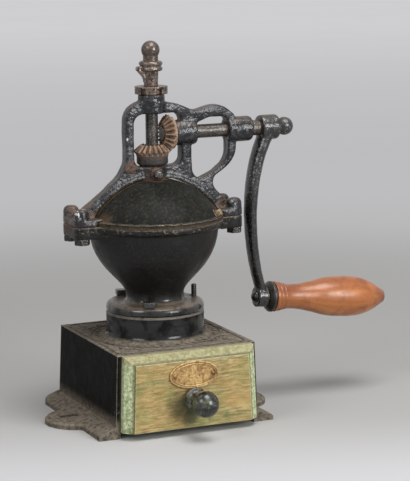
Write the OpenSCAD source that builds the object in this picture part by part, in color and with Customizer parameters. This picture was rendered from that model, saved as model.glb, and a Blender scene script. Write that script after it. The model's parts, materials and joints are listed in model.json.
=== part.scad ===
// Counter spice mill: cast box with a drawer, bowl hopper with a domed cover,
// open arch that carries an upright arbor and a side crank with bevel gears.
// The arbor stands on Z, the drawer faces -Y and the crank is on +X.

/* [Box] */
// Width of the box across its top
box_w = 125; // [110:1:145]
// Depth of the box across its top
box_d = 139; // [120:1:160]
// Height of the box top above the table
box_h = 70.5; // [66:0.5:90]
// Thickness of the side and rear walls
box_wall = 4; // [3:0.5:6]
// Thickness of the top plate
box_top_t = 5; // [4:0.5:8]
// Slope of the cast walls from upright, in degrees
draft = 2.2; // [0:0.1:4]
// Width of the runner ledge inside each side wall
ledge_w = 9; // [6:0.5:14]
// Thickness of the runner ledge
ledge_t = 4; // [3:0.5:6]

/* [Base] */
// How far the side skirt reaches out from the foot of the wall
skirt_reach = 14.5; // [10:0.5:24]
// Height at which the skirt leaves the wall
skirt_rise = 10; // [7:0.5:16]
// Thickness of the skirt's edge and of the screw ears
foot_t = 5; // [4:0.5:7]
// Radius of the round screw ear on each side
foot_r = 29; // [22:1:34]
// How far the screw ear reaches past the skirt
foot_reach = 22; // [14:1:26]
// Width of the screw slot
slot_w = 9; // [6:0.5:11]
// Length of the screw slot, end to end
slot_len = 18; // [12:1:24]
// Height of the raised lip round the slot
slot_lip_h = 1.2; // [0.6:0.2:2]
// Width of that lip
slot_lip_w = 3; // [2:0.5:5]
// Radius of the fillet between skirt and screw ear
ear_fillet = 8; // [3:0.5:12]
// Radius of the skirt's rear corners
skirt_corner = 9; // [2:0.5:14]
// Chamfer round the upper edge of the foot
foot_chamfer = 1.5; // [0.5:0.1:2]

/* [Drawer] */
// How far the drawer front stands proud of the box at its edge
front_t = 6; // [4:0.5:9]
// Rise of the bevel from that edge to the raised field
bevel_rise = 7; // [3:0.5:9]
// Width of the bevelled border at the sides
bevel_side = 7.5; // [5:0.5:12]
// Width of the bevelled border at the top
bevel_top = 6.5; // [4:0.5:12]
// Step between the bevel and the field
field_step = 1.2; // [0.6:0.2:2]
// Cast iron left showing at each side of the drawer front
front_inset = 3.9; // [2:0.1:6]
// Height of the drawer front's lower edge above the table
front_low = 6.2; // [5:0.2:9]
// Thickness of the drawer's side and back boards
board_t = 5; // [4:0.5:8]
// Thickness of the drawer's bottom board
floor_t = 4; // [3:0.5:6]
// Height of the drawer's sides
drawer_h = 42; // [30:1:44]
// Free space behind the drawer
drawer_room = 5; // [2:0.5:20]
// Sideways clearance of the drawer in the box
drawer_gap = 1; // [0.5:0.1:2]
// Thickness of the front board inside the opening
lip_t = 8; // [5:0.5:12]

/* [Knob and plate] */
// Height of the knob's centre above the table
knob_z = 31.5; // [24:0.5:40]
// Diameter of the knob's ball
knob_d = 22.5; // [16:0.5:26]
// Distance from the field to the middle of the ball
knob_reach = 24.5; // [18:0.5:30]
// Diameter of the knob's base ring, which stands clear of the plate's rim
knob_base_d = 19.5; // [14:0.5:24]
// Diameter of the knob's neck
knob_neck_d = 12; // [9:0.5:15]
// Diameter of the screw that holds the knob
knob_screw_d = 4; // [3:0.5:5]
// Width of the oval plate
plate_w = 44; // [32:1:56]
// Height of the oval plate
plate_h = 23.4; // [16:0.2:28]
// Thickness of the oval plate
plate_t = 1.2; // [0.8:0.1:2]
// Height of the plate's raised rim
plate_rim_h = 0.7; // [0.4:0.1:1.2]
// Height of the plate's centre above the table
plate_z = 51.6; // [48:0.2:54]
// Distance between the plate's two pins
pin_pitch = 34.2; // [26:0.2:44]

/* [Collar and burrs] */
// Diameter of the collar on the box
collar_d = 85; // [80:1:100]
// Height of the collar
collar_h = 22; // [18:0.5:30]
// Radius of the fillet at the collar's foot
collar_fillet = 6; // [3:0.5:9]
// Outer diameter of the fixed burr ring
ring_d = 63; // [56:0.5:66]
// Height of the fixed burr ring
ring_h = 19; // [14:0.5:20]
// Diameter of the grinding cone at its foot
cone_d = 49; // [42:0.5:52]
// Diameter of the grinding cone at its head
cone_top_d = 25; // [20:0.5:30]
// Height of the grinding cone
cone_h = 26; // [20:0.5:30]
// Number of ribs on the grinding cone
cone_ribs = 14; // [10:1:20]
// Depth of the grooves in cone and ring
groove_depth = 1.8; // [1:0.1:2.4]
// Grinding gap between cone and ring
grind_gap = 0.5; // [0.3:0.1:1]

/* [Hopper] */
// Outer diameter of the dome and of the seat that it stands on
rim_d = 119; // [110:1:130]
// Height of the rim above the collar
hopper_h = 78.5; // [66:0.5:90]
// Height of the band round the rim
band_h = 5.2; // [4:0.1:9]
// How far the band stands out from the dome's edge
band_proud = 1; // [0.4:0.2:2]
// Outer diameter of the neck
neck_d = 50.4; // [44:0.2:56]
// Thickness of the hopper's wall
hopper_wall = 4; // [3:0.5:6]
// Thickness of the hopper's bottom flange
flange_t = 8; // [6:0.5:11]
// Radius of the flange's rounded shoulder
flange_round = 4.5; // [1.5:0.5:5]
// Distance of the flange bolts from the arbor
flange_bolt_r = 36.8; // [36:0.2:37.2]
// Diameter of the flange bolts
flange_bolt_d = 6; // [5:0.5:6]
// Width of the square bolt heads across their flats
square_head = 10; // [9:0.5:12]
// Height of the square bolt heads
square_head_h = 5; // [4:0.5:7]
// Diameter of the plain stud in the flange
stud_d = 4.6; // [4:0.2:6]
// Height of the plain stud above the flange
stud_h = 10.5; // [6:0.5:16]

/* [Lugs] */
// Distance of the lug bolts from the arbor, along the arch
lug_x = 70.3; // [69.5:0.1:76]
// Distance of the lug bolts in front of and behind the arch
lug_y = 13; // [11:0.5:15]
// Radius of the lugs round each bolt
lug_r = 7; // [6:0.1:7.8]
// Thickness of the hopper's lugs
lug_t = 10; // [8:0.5:14]
// How much wider the hopper's lugs are where they meet the rim
lug_spread = 4; // [0:0.5:6]
// Thickness of the arch's feet
arch_foot_t = 6.5; // [5:0.5:9]
// Height of the bosses on the arch feet
boss_h = 15.5; // [12:0.5:20]
// Diameter of the lug bolts
lug_bolt_d = 7; // [6:0.5:8]
// Width of the hexagon heads across their flats
hex_head = 12; // [10:0.5:13]
// Height of the hexagon heads
hex_head_h = 5; // [3:0.2:6]

/* [Dome] */
// Height of the dome above the rim
dome_h = 36; // [32:0.5:42]
// Thickness of the dome's front lid and rear cover
lid_t = 2.8; // [2:0.2:3.4]
// Height of the lip round the lid's lower edge
lid_lip_h = 3.5; // [2:0.5:3.5]
// Clearance between lid, rear cover and arch
lid_gap = 0.8; // [0.5:0.1:1.2]
// Angle that the lid's edges stay short of the arch plane
lid_edge_angle = 4; // [2:0.5:6]
// Diameter of the arch hub that the lid turns on
hub_d = 22; // [18:0.5:24]
// Angle of the lid's stud in front of the crank side
stud_angle = 38; // [32:1:44]
// Height of the lid's stud above the rim
stud_rise = 5.8; // [5.8:0.2:8]
// Width of the stud's square head
stud_head = 5; // [4:0.5:6]
// Diameter of the round pad under the stud
stud_pad = 8.4; // [7:0.2:9]

/* [Arch] */
// Thickness of the arch from front to back
arch_t = 12; // [10:0.5:14]
// Outer face of the left post from the arbor
post_out = 25.9; // [24:0.1:30]
// Width of the left post
post_w = 7.5; // [5:0.1:8]
// Inner face of the right post from the arbor
inner_post_x = 25.5; // [24:0.1:28]
// Width of the right post
inner_post_w = 9.2; // [7:0.1:11]
// Outer face of the loop that holds the outer bearing
loop_out = 76.8; // [74:0.2:80]
// Width of the loop's bar
loop_w = 8; // [6:0.2:10]
// Height of the top bridge above the crank axis
bridge_rise = 25; // [24.5:0.1:31]
// Thickness of the top bridge
bridge_t = 7; // [6:0.2:9]
// Rise of the bridge where it meets the arbor boss
bridge_flare = 3.6; // [0:0.2:5]
// Height of the arch's cross band over the bead round the dome
arch_band = 7.5; // [6:0.5:10]
// Width of the raised bead round the dome
bead_w = 3; // [2:0.2:4]
// How far that bead stands out from the arch face
bead_proud = 1.2; // [0.6:0.2:2]
// Diameter of the arbor boss on top of the arch
top_boss_d = 23; // [20:0.5:28]
// Height of that boss above the bridge
top_boss_rise = 9.4; // [6:0.1:11]
// Diameter of the crank's bearing bosses
crank_boss_d = 22; // [19:0.5:24]
// How far the inner crank bearing reaches into the window
inner_boss_reach = 6.3; // [5:0.1:7]
// Length of the inner crank bearing
inner_boss_len = 20.2; // [18:0.2:26]
// Outer end of the outer crank bearing from the arbor
outer_boss_end = 92.6; // [88:0.2:100]
// Diameter of the boss that holds the bearing screw
screw_boss_d = 12.2; // [10:0.2:13]

/* [Arbor and top] */
// Diameter of the arbor
arbor_d = 10.8; // [10:0.1:12]
// Diameter of the arbor above its adjusting nut
arbor_tail_d = 9.6; // [9:0.1:10]
// Diameter of the arbor's lower journal
journal_d = 8; // [6:0.5:9]
// Running clearance on the radius
run_gap = 0.05; // [0.02:0.01:0.1]
// Diameter of the adjusting nut's flange
adjust_d = 28.5; // [24:0.5:32]
// Thickness of the adjusting nut's flange
adjust_t = 6.8; // [5:0.2:9]
// Number of notches in the adjusting nut
adjust_notches = 6; // [4:1:8]
// Width of each notch
notch_w = 5; // [3:0.5:6]
// Depth of each notch
notch_depth = 4; // [2:0.5:5]
// Outer diameter of the adjusting nut's bush
bush_d = 16; // [14:0.5:18]
// Length of the adjusting nut's bush
bush_len = 14; // [10:0.5:15]
// Length of the tapered sleeve on the arbor
sleeve_len = 12.5; // [9:0.5:16]
// Diameter of the sleeve at its foot
sleeve_foot_d = 12.2; // [12:0.1:14]
// Diameter of the sleeve under its ring
sleeve_head_d = 13; // [12.4:0.1:15]
// Diameter of the sleeve's ring
sleeve_ring_d = 20.4; // [19:0.2:24]
// Height of the sleeve's ring
sleeve_ring_h = 8.5; // [6:0.5:10]
// Diameter of the ball on top
finial_d = 15.8; // [13:0.2:18]
// Diameter of the ball's neck
finial_neck_d = 13; // [11:0.2:15]
// Distance from the ring to the middle of the ball
finial_rise = 9.4; // [8:0.2:12]

/* [Bevel gears] */
// Height of the crank axis above the rim
crank_rise = 73.5; // [70:0.5:80]
// Teeth on each gear
gear_teeth = 18; // [16:1:20]
// Pitch radius of each gear at its large end
gear_r = 15.4; // [14:0.1:15.6]
// Length of the teeth
gear_face = 9; // [6:0.2:9.2]
// Pressure angle of the teeth, in degrees
pressure = 20; // [17:0.5:22]
// Play between the teeth
backlash = 0.3; // [0.2:0.05:0.4]
// Diameter of the lower gear's hub
gear_hub_d = 27; // [22:0.2:28]
// Diameter of the crank gear's hub
pinion_hub_d = 21; // [18:0.5:22]
// Diameter of the gears' cross pins
gear_pin_d = 2.6; // [2.2:0.1:3]

/* [Crank] */
// Diameter of the crank shaft
shaft_d = 11.8; // [10:0.1:12]
// Diameter of the shoulder that the crank arm seats on
shoulder_d = 13.4; // [12.6:0.1:15]
// Length of that shoulder
shoulder_len = 8; // [2:0.2:10]
// Width of the square that drives the arm
square_w = 8; // [6:0.5:8.5]
// Diameter of the crank arm's hub
arm_hub_d = 21.8; // [18:0.2:24]
// Length of the crank arm's hub
arm_hub_len = 17.4; // [16:0.1:26]
// Distance between the crank axis and the grip's eye
crank_r = 151; // [130:1:160]
// How far the eye lies inward of the hub's middle
eye_inset = 8.2; // [4:0.2:14]
// Bow of the arm towards the mill below the hub
arm_bow_top = 22.5; // [14:0.5:24]
// Bow of the arm towards the mill above the eye
arm_bow_low = 13.5; // [8:0.5:15]
// Width of the arm below its hub
arm_w_top = 20; // [15:0.5:22]
// Width of the arm above its eye
arm_w_low = 14.5; // [10:0.5:16]
// Thickness of the arm below its hub
arm_t_top = 12.4; // [8:0.2:14]
// Thickness of the arm above its eye
arm_t_low = 8.6; // [6:0.2:10]
// Diameter of the eye
eye_d = 18.6; // [16:0.2:22]
// Thickness of the eye
eye_t = 10; // [8:0.5:12]
// Diameter of the ball nut
ball_nut_d = 16; // [13:0.5:18]
// Diameter of the ball nut's neck
ball_nut_neck_d = 11; // [9:0.5:12]

/* [Grip] */
// Droop of the grip's spindle, in degrees
droop = 5; // [0:0.5:7]
// Length of the wooden grip
grip_len = 111.5; // [95:0.5:120]
// Largest diameter of the grip
grip_d = 36.8; // [30:0.2:40]
// Diameter of the grip's waist behind its bead
grip_waist_d = 20.8; // [17:0.2:24]
// Diameter of the bead at the grip's inner end
grip_bead_d = 26; // [22:0.5:30]
// Length of that bead
grip_bead_len = 9.5; // [6:0.5:12]
// Diameter of the dark collar between arm and grip
ferrule_d = 27.4; // [22:0.2:30]
// Thickness of that collar
ferrule_t = 5.6; // [3:0.2:7]
// Diameter of the spindle inside the grip
spindle_d = 9; // [8:0.5:10]

/* [Bridge] */
// Width of the cross bar under the box top
bridge_bar_w = 14; // [10:0.5:18]
// Thickness of the cross bar
bridge_bar_t = 7; // [5:0.5:8]
// Distance of its screws from the arbor
bridge_screw_r = 40; // [37:0.5:46]
// Diameter of its screws
bridge_screw_d = 5; // [4:0.5:6]

/* [Small parts] */
// Depth of the tapped holes for the flange bolts and the stud
thread_depth = 12; // [8:0.5:13]
// Turn of the flange bolts' square heads from the arbor's direction, in degrees
head_turn = 12; // [0:1:45]
// Diameter of the threaded ends that carry the ball nut and the domed nut
tail_d = 7; // [6:0.5:7.5]
// Diameter of the bearing screw
bearing_screw_d = 5; // [4:0.5:6]
// Diameter of the plate's pins
pin_d = 2; // [1.6:0.2:2.4]
// Length of the plate's pins in the wood
pin_len = 5; // [4:0.5:6]
// Twist of the grinding cone's grooves over its height, in degrees
cone_twist = 30; // [0:1:40]
// Twist of the burr ring's grooves over its height, in degrees
ring_twist = -20; // [-30:1:0]
// Wall of the lower bearing round the journal
bearing_wall = 6; // [4:0.5:7]

/* [Hidden] */
$fn = 72;

// Clearance between faces that slide or turn past each other
rest_gap = 0.3;
// Clearance round a screw or pin in its hole
hole_gap = 0.05;
// Overshoot of a cut
cut = 1;

// Heights
collar_top = box_h + collar_h;
rim_z = collar_top + hopper_h;
crank_z = rim_z + crank_rise;
bridge_z = crank_z + bridge_rise;
boss_top = bridge_z + top_boss_rise;
adjust_top = boss_top + adjust_t;
sleeve_foot = adjust_top + rest_gap;
sleeve_head = sleeve_foot + sleeve_len;
ring_top = sleeve_head + sleeve_ring_h;
ball_z = ring_top + finial_rise;
eye_z = crank_z - crank_r;

// Box outline
front_y = -box_d / 2;
function wall_x(z) = box_w / 2 + (box_h - z) * tan(draft);
function wall_y(z) = box_d / 2 + (box_h - z) * tan(draft);
skirt_x = wall_x(0) + skirt_reach;
foot_tip = skirt_x + foot_reach;
foot_x = foot_tip - foot_r;
slot_x = foot_tip - foot_reach / 2 - slot_len / 2;
ledge_z = ledge_t + 3.7;

// Dome sphere through the rim and the dome's top
rim_r = rim_d / 2;
dome_r = (rim_r * rim_r + dome_h * dome_h) / (2 * dome_h);
dome_z = rim_z + dome_h - dome_r;
lip_r = rim_r + 0.8;
lid_foot = rim_z + rest_gap;
cover_r = dome_r - lid_t - lid_gap;
hub_r = hub_d / 2;
window_foot = rim_z + dome_h + bead_w + arch_band;
screw_z = window_foot - 0.4 - screw_boss_d / 2;
hub_foot = rim_z + dome_h - lid_t - lid_gap - lid_t - 2.4;

// Gears
gear_module = 2 * gear_r / gear_teeth;
cone_dist = gear_r * sqrt(2);
face_scale = (cone_dist - gear_face) / cone_dist;
addendum = gear_module;
dedendum = 1.25 * gear_module;
root_r = gear_r - dedendum / sqrt(2);
root_z = gear_r + dedendum / sqrt(2);
arbor_hub_end = crank_rise - dome_h - bead_w - arch_band;
inner_boss_start = inner_post_x - inner_boss_reach;
pinion_end = inner_boss_start - rest_gap;
gear_back = root_z + 1.6;
pin_x = (face_scale * root_z + gear_back) / 2 + 1.5;
pin_lift = (gear_back + arbor_hub_end) / 2;
shaft_start = face_scale * (gear_r - addendum / sqrt(2)) + 0.4;

// Crank arm
shoulder_start = outer_boss_end + rest_gap;
hub_start = shoulder_start + shoulder_len;
hub_end = hub_start + arm_hub_len;
hub_mid = (hub_start + hub_end) / 2;
eye_x = hub_mid - eye_inset;
grip_start = eye_t / 2 + rest_gap + ferrule_t + rest_gap;

// Burrs
ring_foot = collar_top - ring_h;
cone_foot = ring_foot - 2;
cone_head = cone_foot + cone_h;
throat_r = cone_d / 2 + 2;

// Drawer
drawer_foot = ledge_z + rest_gap;
drawer_half = box_w / 2 - box_wall - drawer_gap;
edge_y = front_y - rest_gap - front_t;
field_y = edge_y - bevel_rise;
front_top = box_h - 0.3;
lip_back = front_y + lip_t;
drawer_back_y = box_d / 2 - box_wall - drawer_room;
drawer_d = drawer_back_y - lip_back;
bar_top = box_h - box_top_t;

function unit(v) = v / norm(v);
function arc(c, r, a0, a1, n) =
    [for (i = [0:n]) c + r * [cos(a0 + (a1 - a0) * i / n), sin(a0 + (a1 - a0) * i / n)]];
function turn(a) = (a + 540) % 360 - 180;
function corner(a, b, c, r, n) =
    let (u = unit(a - b), v = unit(c - b), half = acos(u * v) / 2,
         m = b + unit(u + v) * r / sin(half),
         p = b + u * r / tan(half) - m, q = b + v * r / tan(half) - m,
         a0 = atan2(p[1], p[0]), sweep = turn(atan2(q[1], q[0]) - a0))
    arc(m, r, a0, a0 + sweep, n);
function flat(p) = [p[0], p[1]];
// Outline through corner points [x, y, radius], each corner rounded
function rounded(p, n = 5) =
    [for (i = [0:len(p) - 1])
        let (a = flat(p[(i + len(p) - 1) % len(p)]), b = flat(p[i]), c = flat(p[(i + 1) % len(p)]))
        each (p[i][2] > 0 ? corner(a, b, c, p[i][2], n) : [b])];
function bezier(a, b, c, d, n) =
    [for (i = [0:n]) let (t = i / n, s = 1 - t)
        s * s * s * a + 3 * s * s * t * b + 3 * s * t * t * c + t * t * t * d];
// Smooth curve through points, n steps from each to the next
function through(p, n) =
    [for (i = [0:len(p) - 2], k = [0:n - 1])
        let (t = k / n, a = p[max(i - 1, 0)], b = p[i], c = p[i + 1], d = p[min(i + 2, len(p) - 1)])
        b + 0.5 * t * (c - a + t * (2 * a - 5 * b + 4 * c - d + t * (3 * b - a - 3 * c + d))),
     p[len(p) - 1]];
function oval(w, h, n) = [for (i = [0:n - 1]) [w / 2 * cos(360 * i / n), h / 2 * sin(360 * i / n)]];

module mirrored() {
    children();
    mirror([1, 0, 0]) children();
}

// Solid between two four-cornered faces
module wedge(low, high) {
    polyhedron(points = concat(low, high),
        faces = [[0, 1, 2, 3], [7, 6, 5, 4], [0, 4, 5, 1], [1, 5, 6, 2], [2, 6, 7, 3], [3, 7, 4, 0]]);
}

// Plate standing in the XZ plane, centred on y = 0
module upright(t) {
    translate([0, t / 2, 0]) rotate([90, 0, 0]) linear_extrude(t) children();
}

module along_x(x0, x1, z) {
    translate([x0, 0, z]) rotate([0, 90, 0]) linear_extrude(x1 - x0) children();
}

// Drafted block from one height to another, drawn in from the outside by inset
module block(inset, low, top, y0, y1) {
    intersection() {
        translate([0, y1 + cut, 0]) rotate([90, 0, 0]) linear_extrude(y1 - y0 + cut)
            polygon([[-wall_x(low) + inset, low], [wall_x(low) - inset, low],
                [wall_x(top) - inset, top], [-wall_x(top) + inset, top]]);
        translate([-box_w, 0, 0]) rotate([90, 0, 90]) linear_extrude(2 * box_w)
            polygon([[y0, low], [wall_y(low) - inset, low], [wall_y(top) - inset, top], [y0, top]]);
    }
}

module collar_profile() {
    r = collar_d / 2;
    polygon(concat([[0, box_h - box_top_t / 2]],
        [[r + collar_fillet, box_h - box_top_t / 2], [r + collar_fillet, box_h]],
        arc([r + collar_fillet, box_h + collar_fillet], collar_fillet, 270, 180, 6),
        [[r, collar_top - 1.6], [r - 0.8, collar_top - 0.8], [r - 0.8, collar_top], [0, collar_top]]));
}

// Sloping skirt of one side, its rear corner rounded, with the screw ear and a fillet on each side of it
module skirt() {
    y1 = wall_y(skirt_rise) + 4;
    inside = wall_x(skirt_rise) - box_wall;
    intersection() {
        translate([0, y1, 0]) rotate([90, 0, 0]) linear_extrude(y1 - front_y)
            polygon([[inside, 0], [skirt_x, 0], [skirt_x, foot_t - foot_chamfer],
                [skirt_x - foot_chamfer, foot_t], [wall_x(skirt_rise) - 0.5, skirt_rise], [inside, skirt_rise]]);
        translate([0, 0, -cut]) linear_extrude(skirt_rise + 2 * cut)
            polygon(rounded([[inside - cut, front_y - cut, 0], [skirt_x, front_y - cut, 0],
                [skirt_x, y1, skirt_corner], [inside - cut, y1, 0]], 8));
    }
    translate([foot_x, 0, 0]) rotate_extrude() polygon([[0, 0], [foot_r, 0],
        [foot_r, foot_t - foot_chamfer], [foot_r - foot_chamfer, foot_t], [0, foot_t]]);
    for (s = [-1, 1]) ear_blend(s);
    translate([slot_x, 0, foot_t - cut]) linear_extrude(cut + slot_lip_h)
        slot_shape(slot_w + 2 * slot_lip_w, slot_len + 2 * slot_lip_w);
}

// Fillet in the corner between the skirt's edge and the ear
module ear_blend(s) {
    reach = foot_r + ear_fillet;
    side = skirt_x + ear_fillet;
    along = sqrt(reach * reach - (side - foot_x) * (side - foot_x));
    difference() {
        linear_extrude(foot_t - foot_chamfer)
            polygon([[foot_x, 0], [skirt_x - 1, s * along], [skirt_x, s * along], [side, s * along]]);
        translate([side, s * along, -cut]) cylinder(r = ear_fillet + 0.2, h = foot_t + cut);
    }
}

module slot_shape(w, len) {
    for (s = [-1, 1]) translate([s * (len - w) / 2, 0]) circle(d = w);
    square([len - w, w], center = true);
}

module base_box() {
    color([0.16, 0.16, 0.15]) difference() {
        union() {
            block(0, 0, box_h, front_y, wall_y(0));
            rotate_extrude() collar_profile();
            mirrored() skirt();
        }
        difference() {
            block(box_wall, -cut, box_h - box_top_t, front_y - cut, wall_y(0));
            mirrored() translate([wall_x(ledge_z) - box_wall - ledge_w, front_y + 2, ledge_z - ledge_t])
                cube([ledge_w + box_wall, box_d, ledge_t]);
        }
        translate([0, 0, bar_top - cut]) cylinder(r = throat_r, h = collar_h + box_top_t + 2 * cut);
        translate([0, 0, ring_foot]) cylinder(r = ring_d / 2 + hole_gap, h = ring_h + cut);
        for (a = [0, 120, 240]) rotate(a) translate([flange_bolt_r, 0, collar_top - thread_depth - 2])
            cylinder(d = (a == 0 ? stud_d : flange_bolt_d) + 2 * hole_gap, h = thread_depth + 2 + cut, $fn = 32);
        for (s = [-1, 1]) translate([s * bridge_screw_r, 0, bar_top - cut])
            cylinder(d = bridge_screw_d + 2 * hole_gap, h = box_top_t - 1.2 + cut, $fn = 32);
        mirrored() translate([slot_x, 0, -cut]) linear_extrude(foot_t + slot_lip_h + 2 * cut)
            slot_shape(slot_w, slot_len);
    }
}

// Hopper
function bowl_curve(inset) =
    let (top = rim_z - band_h - 1.5, low = collar_top + 14.5)
    bezier([rim_r - 3.4 - inset, top], [rim_r - 5.2 - inset, top - 35.5],
        [neck_d / 2 - inset, low + 12], [neck_d / 2 - inset, low], 12);

module hopper_profile() {
    r = neck_d / 2;
    flange_top = collar_top + flange_t;
    outer = concat([[rim_r - 8.5, rim_z], [rim_r + band_proud - 1, rim_z], [rim_r + band_proud, rim_z - 1],
            [rim_r + band_proud, rim_z - band_h + 1], [rim_r + band_proud - 1, rim_z - band_h]],
        bowl_curve(0),
        arc([r + 4, flange_top + 4], 4, 180, 270, 4),
        arc([collar_d / 2 - flange_round, flange_top - flange_round], flange_round, 90, 0, 4),
        [[collar_d / 2, collar_top + 0.8], [collar_d / 2 - 0.8, collar_top]]);
    inner = bowl_curve(hopper_wall);
    polygon(concat(outer, [[r - hopper_wall + 2, collar_top]],
        [for (i = [0:len(inner) - 1]) inner[len(inner) - 1 - i]]));
}

// Plan of a pair of lugs; spread widens it where it meets the rim
module lug_shape(spread) {
    inner = rim_r - 6;
    side = lug_y + lug_r;
    for (s = [-1, 1]) translate([lug_x, s * lug_y]) circle(r = lug_r);
    polygon([[inner, -side - spread], [lug_x - 4, -side], [lug_x, -side], [lug_x, -lug_y],
        [lug_x + lug_r, -lug_y], [lug_x + lug_r, lug_y], [lug_x, lug_y], [lug_x, side],
        [lug_x - 4, side], [inner, side + spread]]);
}

module hopper() {
    color([0.2, 0.2, 0.19]) difference() {
        union() {
            rotate_extrude() hopper_profile();
            difference() {
                mirrored() translate([0, 0, rim_z - lug_t]) linear_extrude(lug_t) lug_shape(lug_spread);
                translate([0, 0, rim_z - lug_t - cut]) cylinder(r = rim_r - 4.6, h = lug_t + 2 * cut);
            }
        }
        for (x = [-lug_x, lug_x], y = [-lug_y, lug_y]) translate([x, y, rim_z - lug_t - cut])
            cylinder(d = lug_bolt_d + 2 * hole_gap, h = lug_t + 2 * cut, $fn = 32);
        for (a = [0, 120, 240]) rotate(a) translate([flange_bolt_r, 0, collar_top - cut])
            cylinder(d = (a == 0 ? stud_d : flange_bolt_d) + 2 * hole_gap, h = flange_t + 2 * cut, $fn = 32);
    }
}

module square_bolt() {
    translate([0, 0, collar_top + flange_t]) {
        translate([0, 0, square_head_h / 2]) cube([square_head, square_head, square_head_h], center = true);
        translate([0, 0, -flange_t - thread_depth])
            cylinder(d = flange_bolt_d, h = flange_t + thread_depth + 0.5, $fn = 32);
    }
}

module flange_bolts() {
    color([0.3, 0.29, 0.27]) for (a = [120, 240]) rotate(a) translate([flange_bolt_r, 0, 0]) rotate(-a - head_turn)
        square_bolt();
}

module flange_stud() {
    shank = thread_depth + flange_t + stud_h - 0.8;
    color([0.32, 0.31, 0.29]) translate([flange_bolt_r, 0, collar_top - thread_depth]) {
        cylinder(d = stud_d, h = shank, $fn = 32);
        translate([0, 0, shank]) cylinder(d1 = stud_d, d2 = stud_d - 1.4, h = 0.8, $fn = 32);
    }
}

module ear_bolts() {
    color([0.25, 0.24, 0.22]) for (x = [-lug_x, lug_x], y = [-lug_y, lug_y])
        translate([x, y, rim_z - lug_t]) {
            translate([0, 0, -hex_head_h]) cylinder(d = hex_head / cos(30), h = hex_head_h, $fn = 6);
            translate([0, 0, -0.5]) cylinder(d = lug_bolt_d, h = lug_t + boss_h - 4, $fn = 32);
        }
}

// Arch frame
module lid_space() {
    translate([0, 0, dome_z]) sphere(r = dome_r + lid_gap, $fn = 120);
    translate([0, 0, rim_z - cut]) cylinder(r = lip_r + lid_gap, h = lid_lip_h + cut + 1.2);
}

module arch_outline() {
    boss = top_boss_d / 2 - 1;
    polygon(rounded([
        [-lug_x - 2, rim_z + 0.02, 0], [-lug_x - 2, rim_z + 8, 3], [-lug_x + 9, rim_z + 15.5, 10],
        [-45.5, rim_z + 27.3, 40], [-31.5, rim_z + 40, 16], [-post_out, rim_z + 50, 12],
        [-post_out, bridge_z - 1, 16], [-boss, bridge_z + bridge_flare, 0], [boss, bridge_z + bridge_flare - 1, 0],
        [21, bridge_z + 0.8, 14], [38.5, crank_z + 18.3, 14], [61.5, crank_z + 24.3, 17],
        [loop_out, crank_z + 12.6, 9], [loop_out, rim_z + 48, 22], [55.5, rim_z + 34, 4], [54, rim_z + 26, 8],
        [66, rim_z + 13, 8], [lug_x + 2, rim_z + 11, 4], [lug_x + 2, rim_z + 0.02, 0]]));
}

module arch_windows() {
    polygon(rounded([
        [-post_out + post_w, window_foot, 7], [inner_post_x, window_foot, 7],
        [inner_post_x, bridge_z - bridge_t, 7], [-post_out + post_w, bridge_z - bridge_t, 9]]));
    in_x = inner_post_x + inner_post_w;
    polygon(rounded([
        [in_x, rim_z + 36.5, 10], [43, rim_z + 32.5, 6], [56, rim_z + 38.5, 18],
        [loop_out - loop_w, rim_z + 48, 16], [loop_out - loop_w, crank_z + 11.8, 4],
        [52, crank_z + 12.4, 12], [in_x, crank_z + 6, 5]]));
}

module boss_dome(r, h) {
    rotate_extrude($fn = 48)
        polygon(concat([[0, 0], [r, 0]], arc([r - 4.5, h - 4.5], 4.5, 0, 90, 5), [[0, h]]));
}

module arch_frame() {
    bead_r = dome_r + lid_gap + bead_w;
    color([0.22, 0.22, 0.21]) difference() {
        union() {
            difference() {
                union() {
                    upright(arch_t) difference() {
                        arch_outline();
                        arch_windows();
                    }
                    intersection() {
                        translate([0, 0, dome_z]) upright(arch_t + 2 * bead_proud)
                            difference() {
                                circle(r = bead_r, $fn = 120);
                                circle(r = bead_r - 2 * bead_w, $fn = 120);
                            }
                        translate([-rim_r - 4, -arch_t, rim_z + 5]) cube([2 * rim_r + 8, 2 * arch_t, dome_h + 12]);
                    }
                    mirrored() translate([0, 0, rim_z + 0.02]) linear_extrude(arch_foot_t) lug_shape(0);
                    translate([0, 0, screw_z]) rotate([90, 0, 0])
                        cylinder(d = screw_boss_d, h = hub_r + 1.5, $fn = 48);
                }
                lid_space();
            }
            for (x = [-lug_x, lug_x], y = [-lug_y, lug_y])
                translate([x, y, rim_z + 0.02]) boss_dome(lug_r - 0.3, boss_h);
            translate([0, 0, hub_foot]) cylinder(r = hub_r, h = window_foot - hub_foot);
            translate([0, 0, bridge_z - bridge_t]) cylinder(d = top_boss_d, h = bridge_t + top_boss_rise);
            along_x(inner_boss_start, inner_boss_start + inner_boss_len, crank_z) circle(d = crank_boss_d);
            along_x(loop_out - loop_w, outer_boss_end - 1.5, crank_z) circle(d = crank_boss_d);
            translate([outer_boss_end - 1.5, 0, crank_z]) rotate([0, 90, 0])
                cylinder(d1 = crank_boss_d, d2 = crank_boss_d - 3, h = 1.5);
        }
        translate([0, 0, hub_foot - cut]) cylinder(d = arbor_d + 2 * run_gap, h = boss_top - hub_foot + 2 * cut);
        translate([0, 0, bridge_z - bridge_t + 1]) cylinder(d = bush_d + 2 * run_gap, h = bridge_t + top_boss_rise);
        along_x(inner_boss_start - cut, outer_boss_end + cut, crank_z) circle(d = shaft_d + 2 * run_gap);
        for (x = [-lug_x, lug_x], y = [-lug_y, lug_y]) translate([x, y, rim_z - cut])
            cylinder(d = lug_bolt_d + 2 * hole_gap, h = boss_h - 4 + cut, $fn = 32);
        translate([0, -arbor_d / 2, screw_z]) rotate([90, 0, 0])
            cylinder(d = bearing_screw_d + 2 * hole_gap, h = hub_r, $fn = 32);
    }
}

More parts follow.
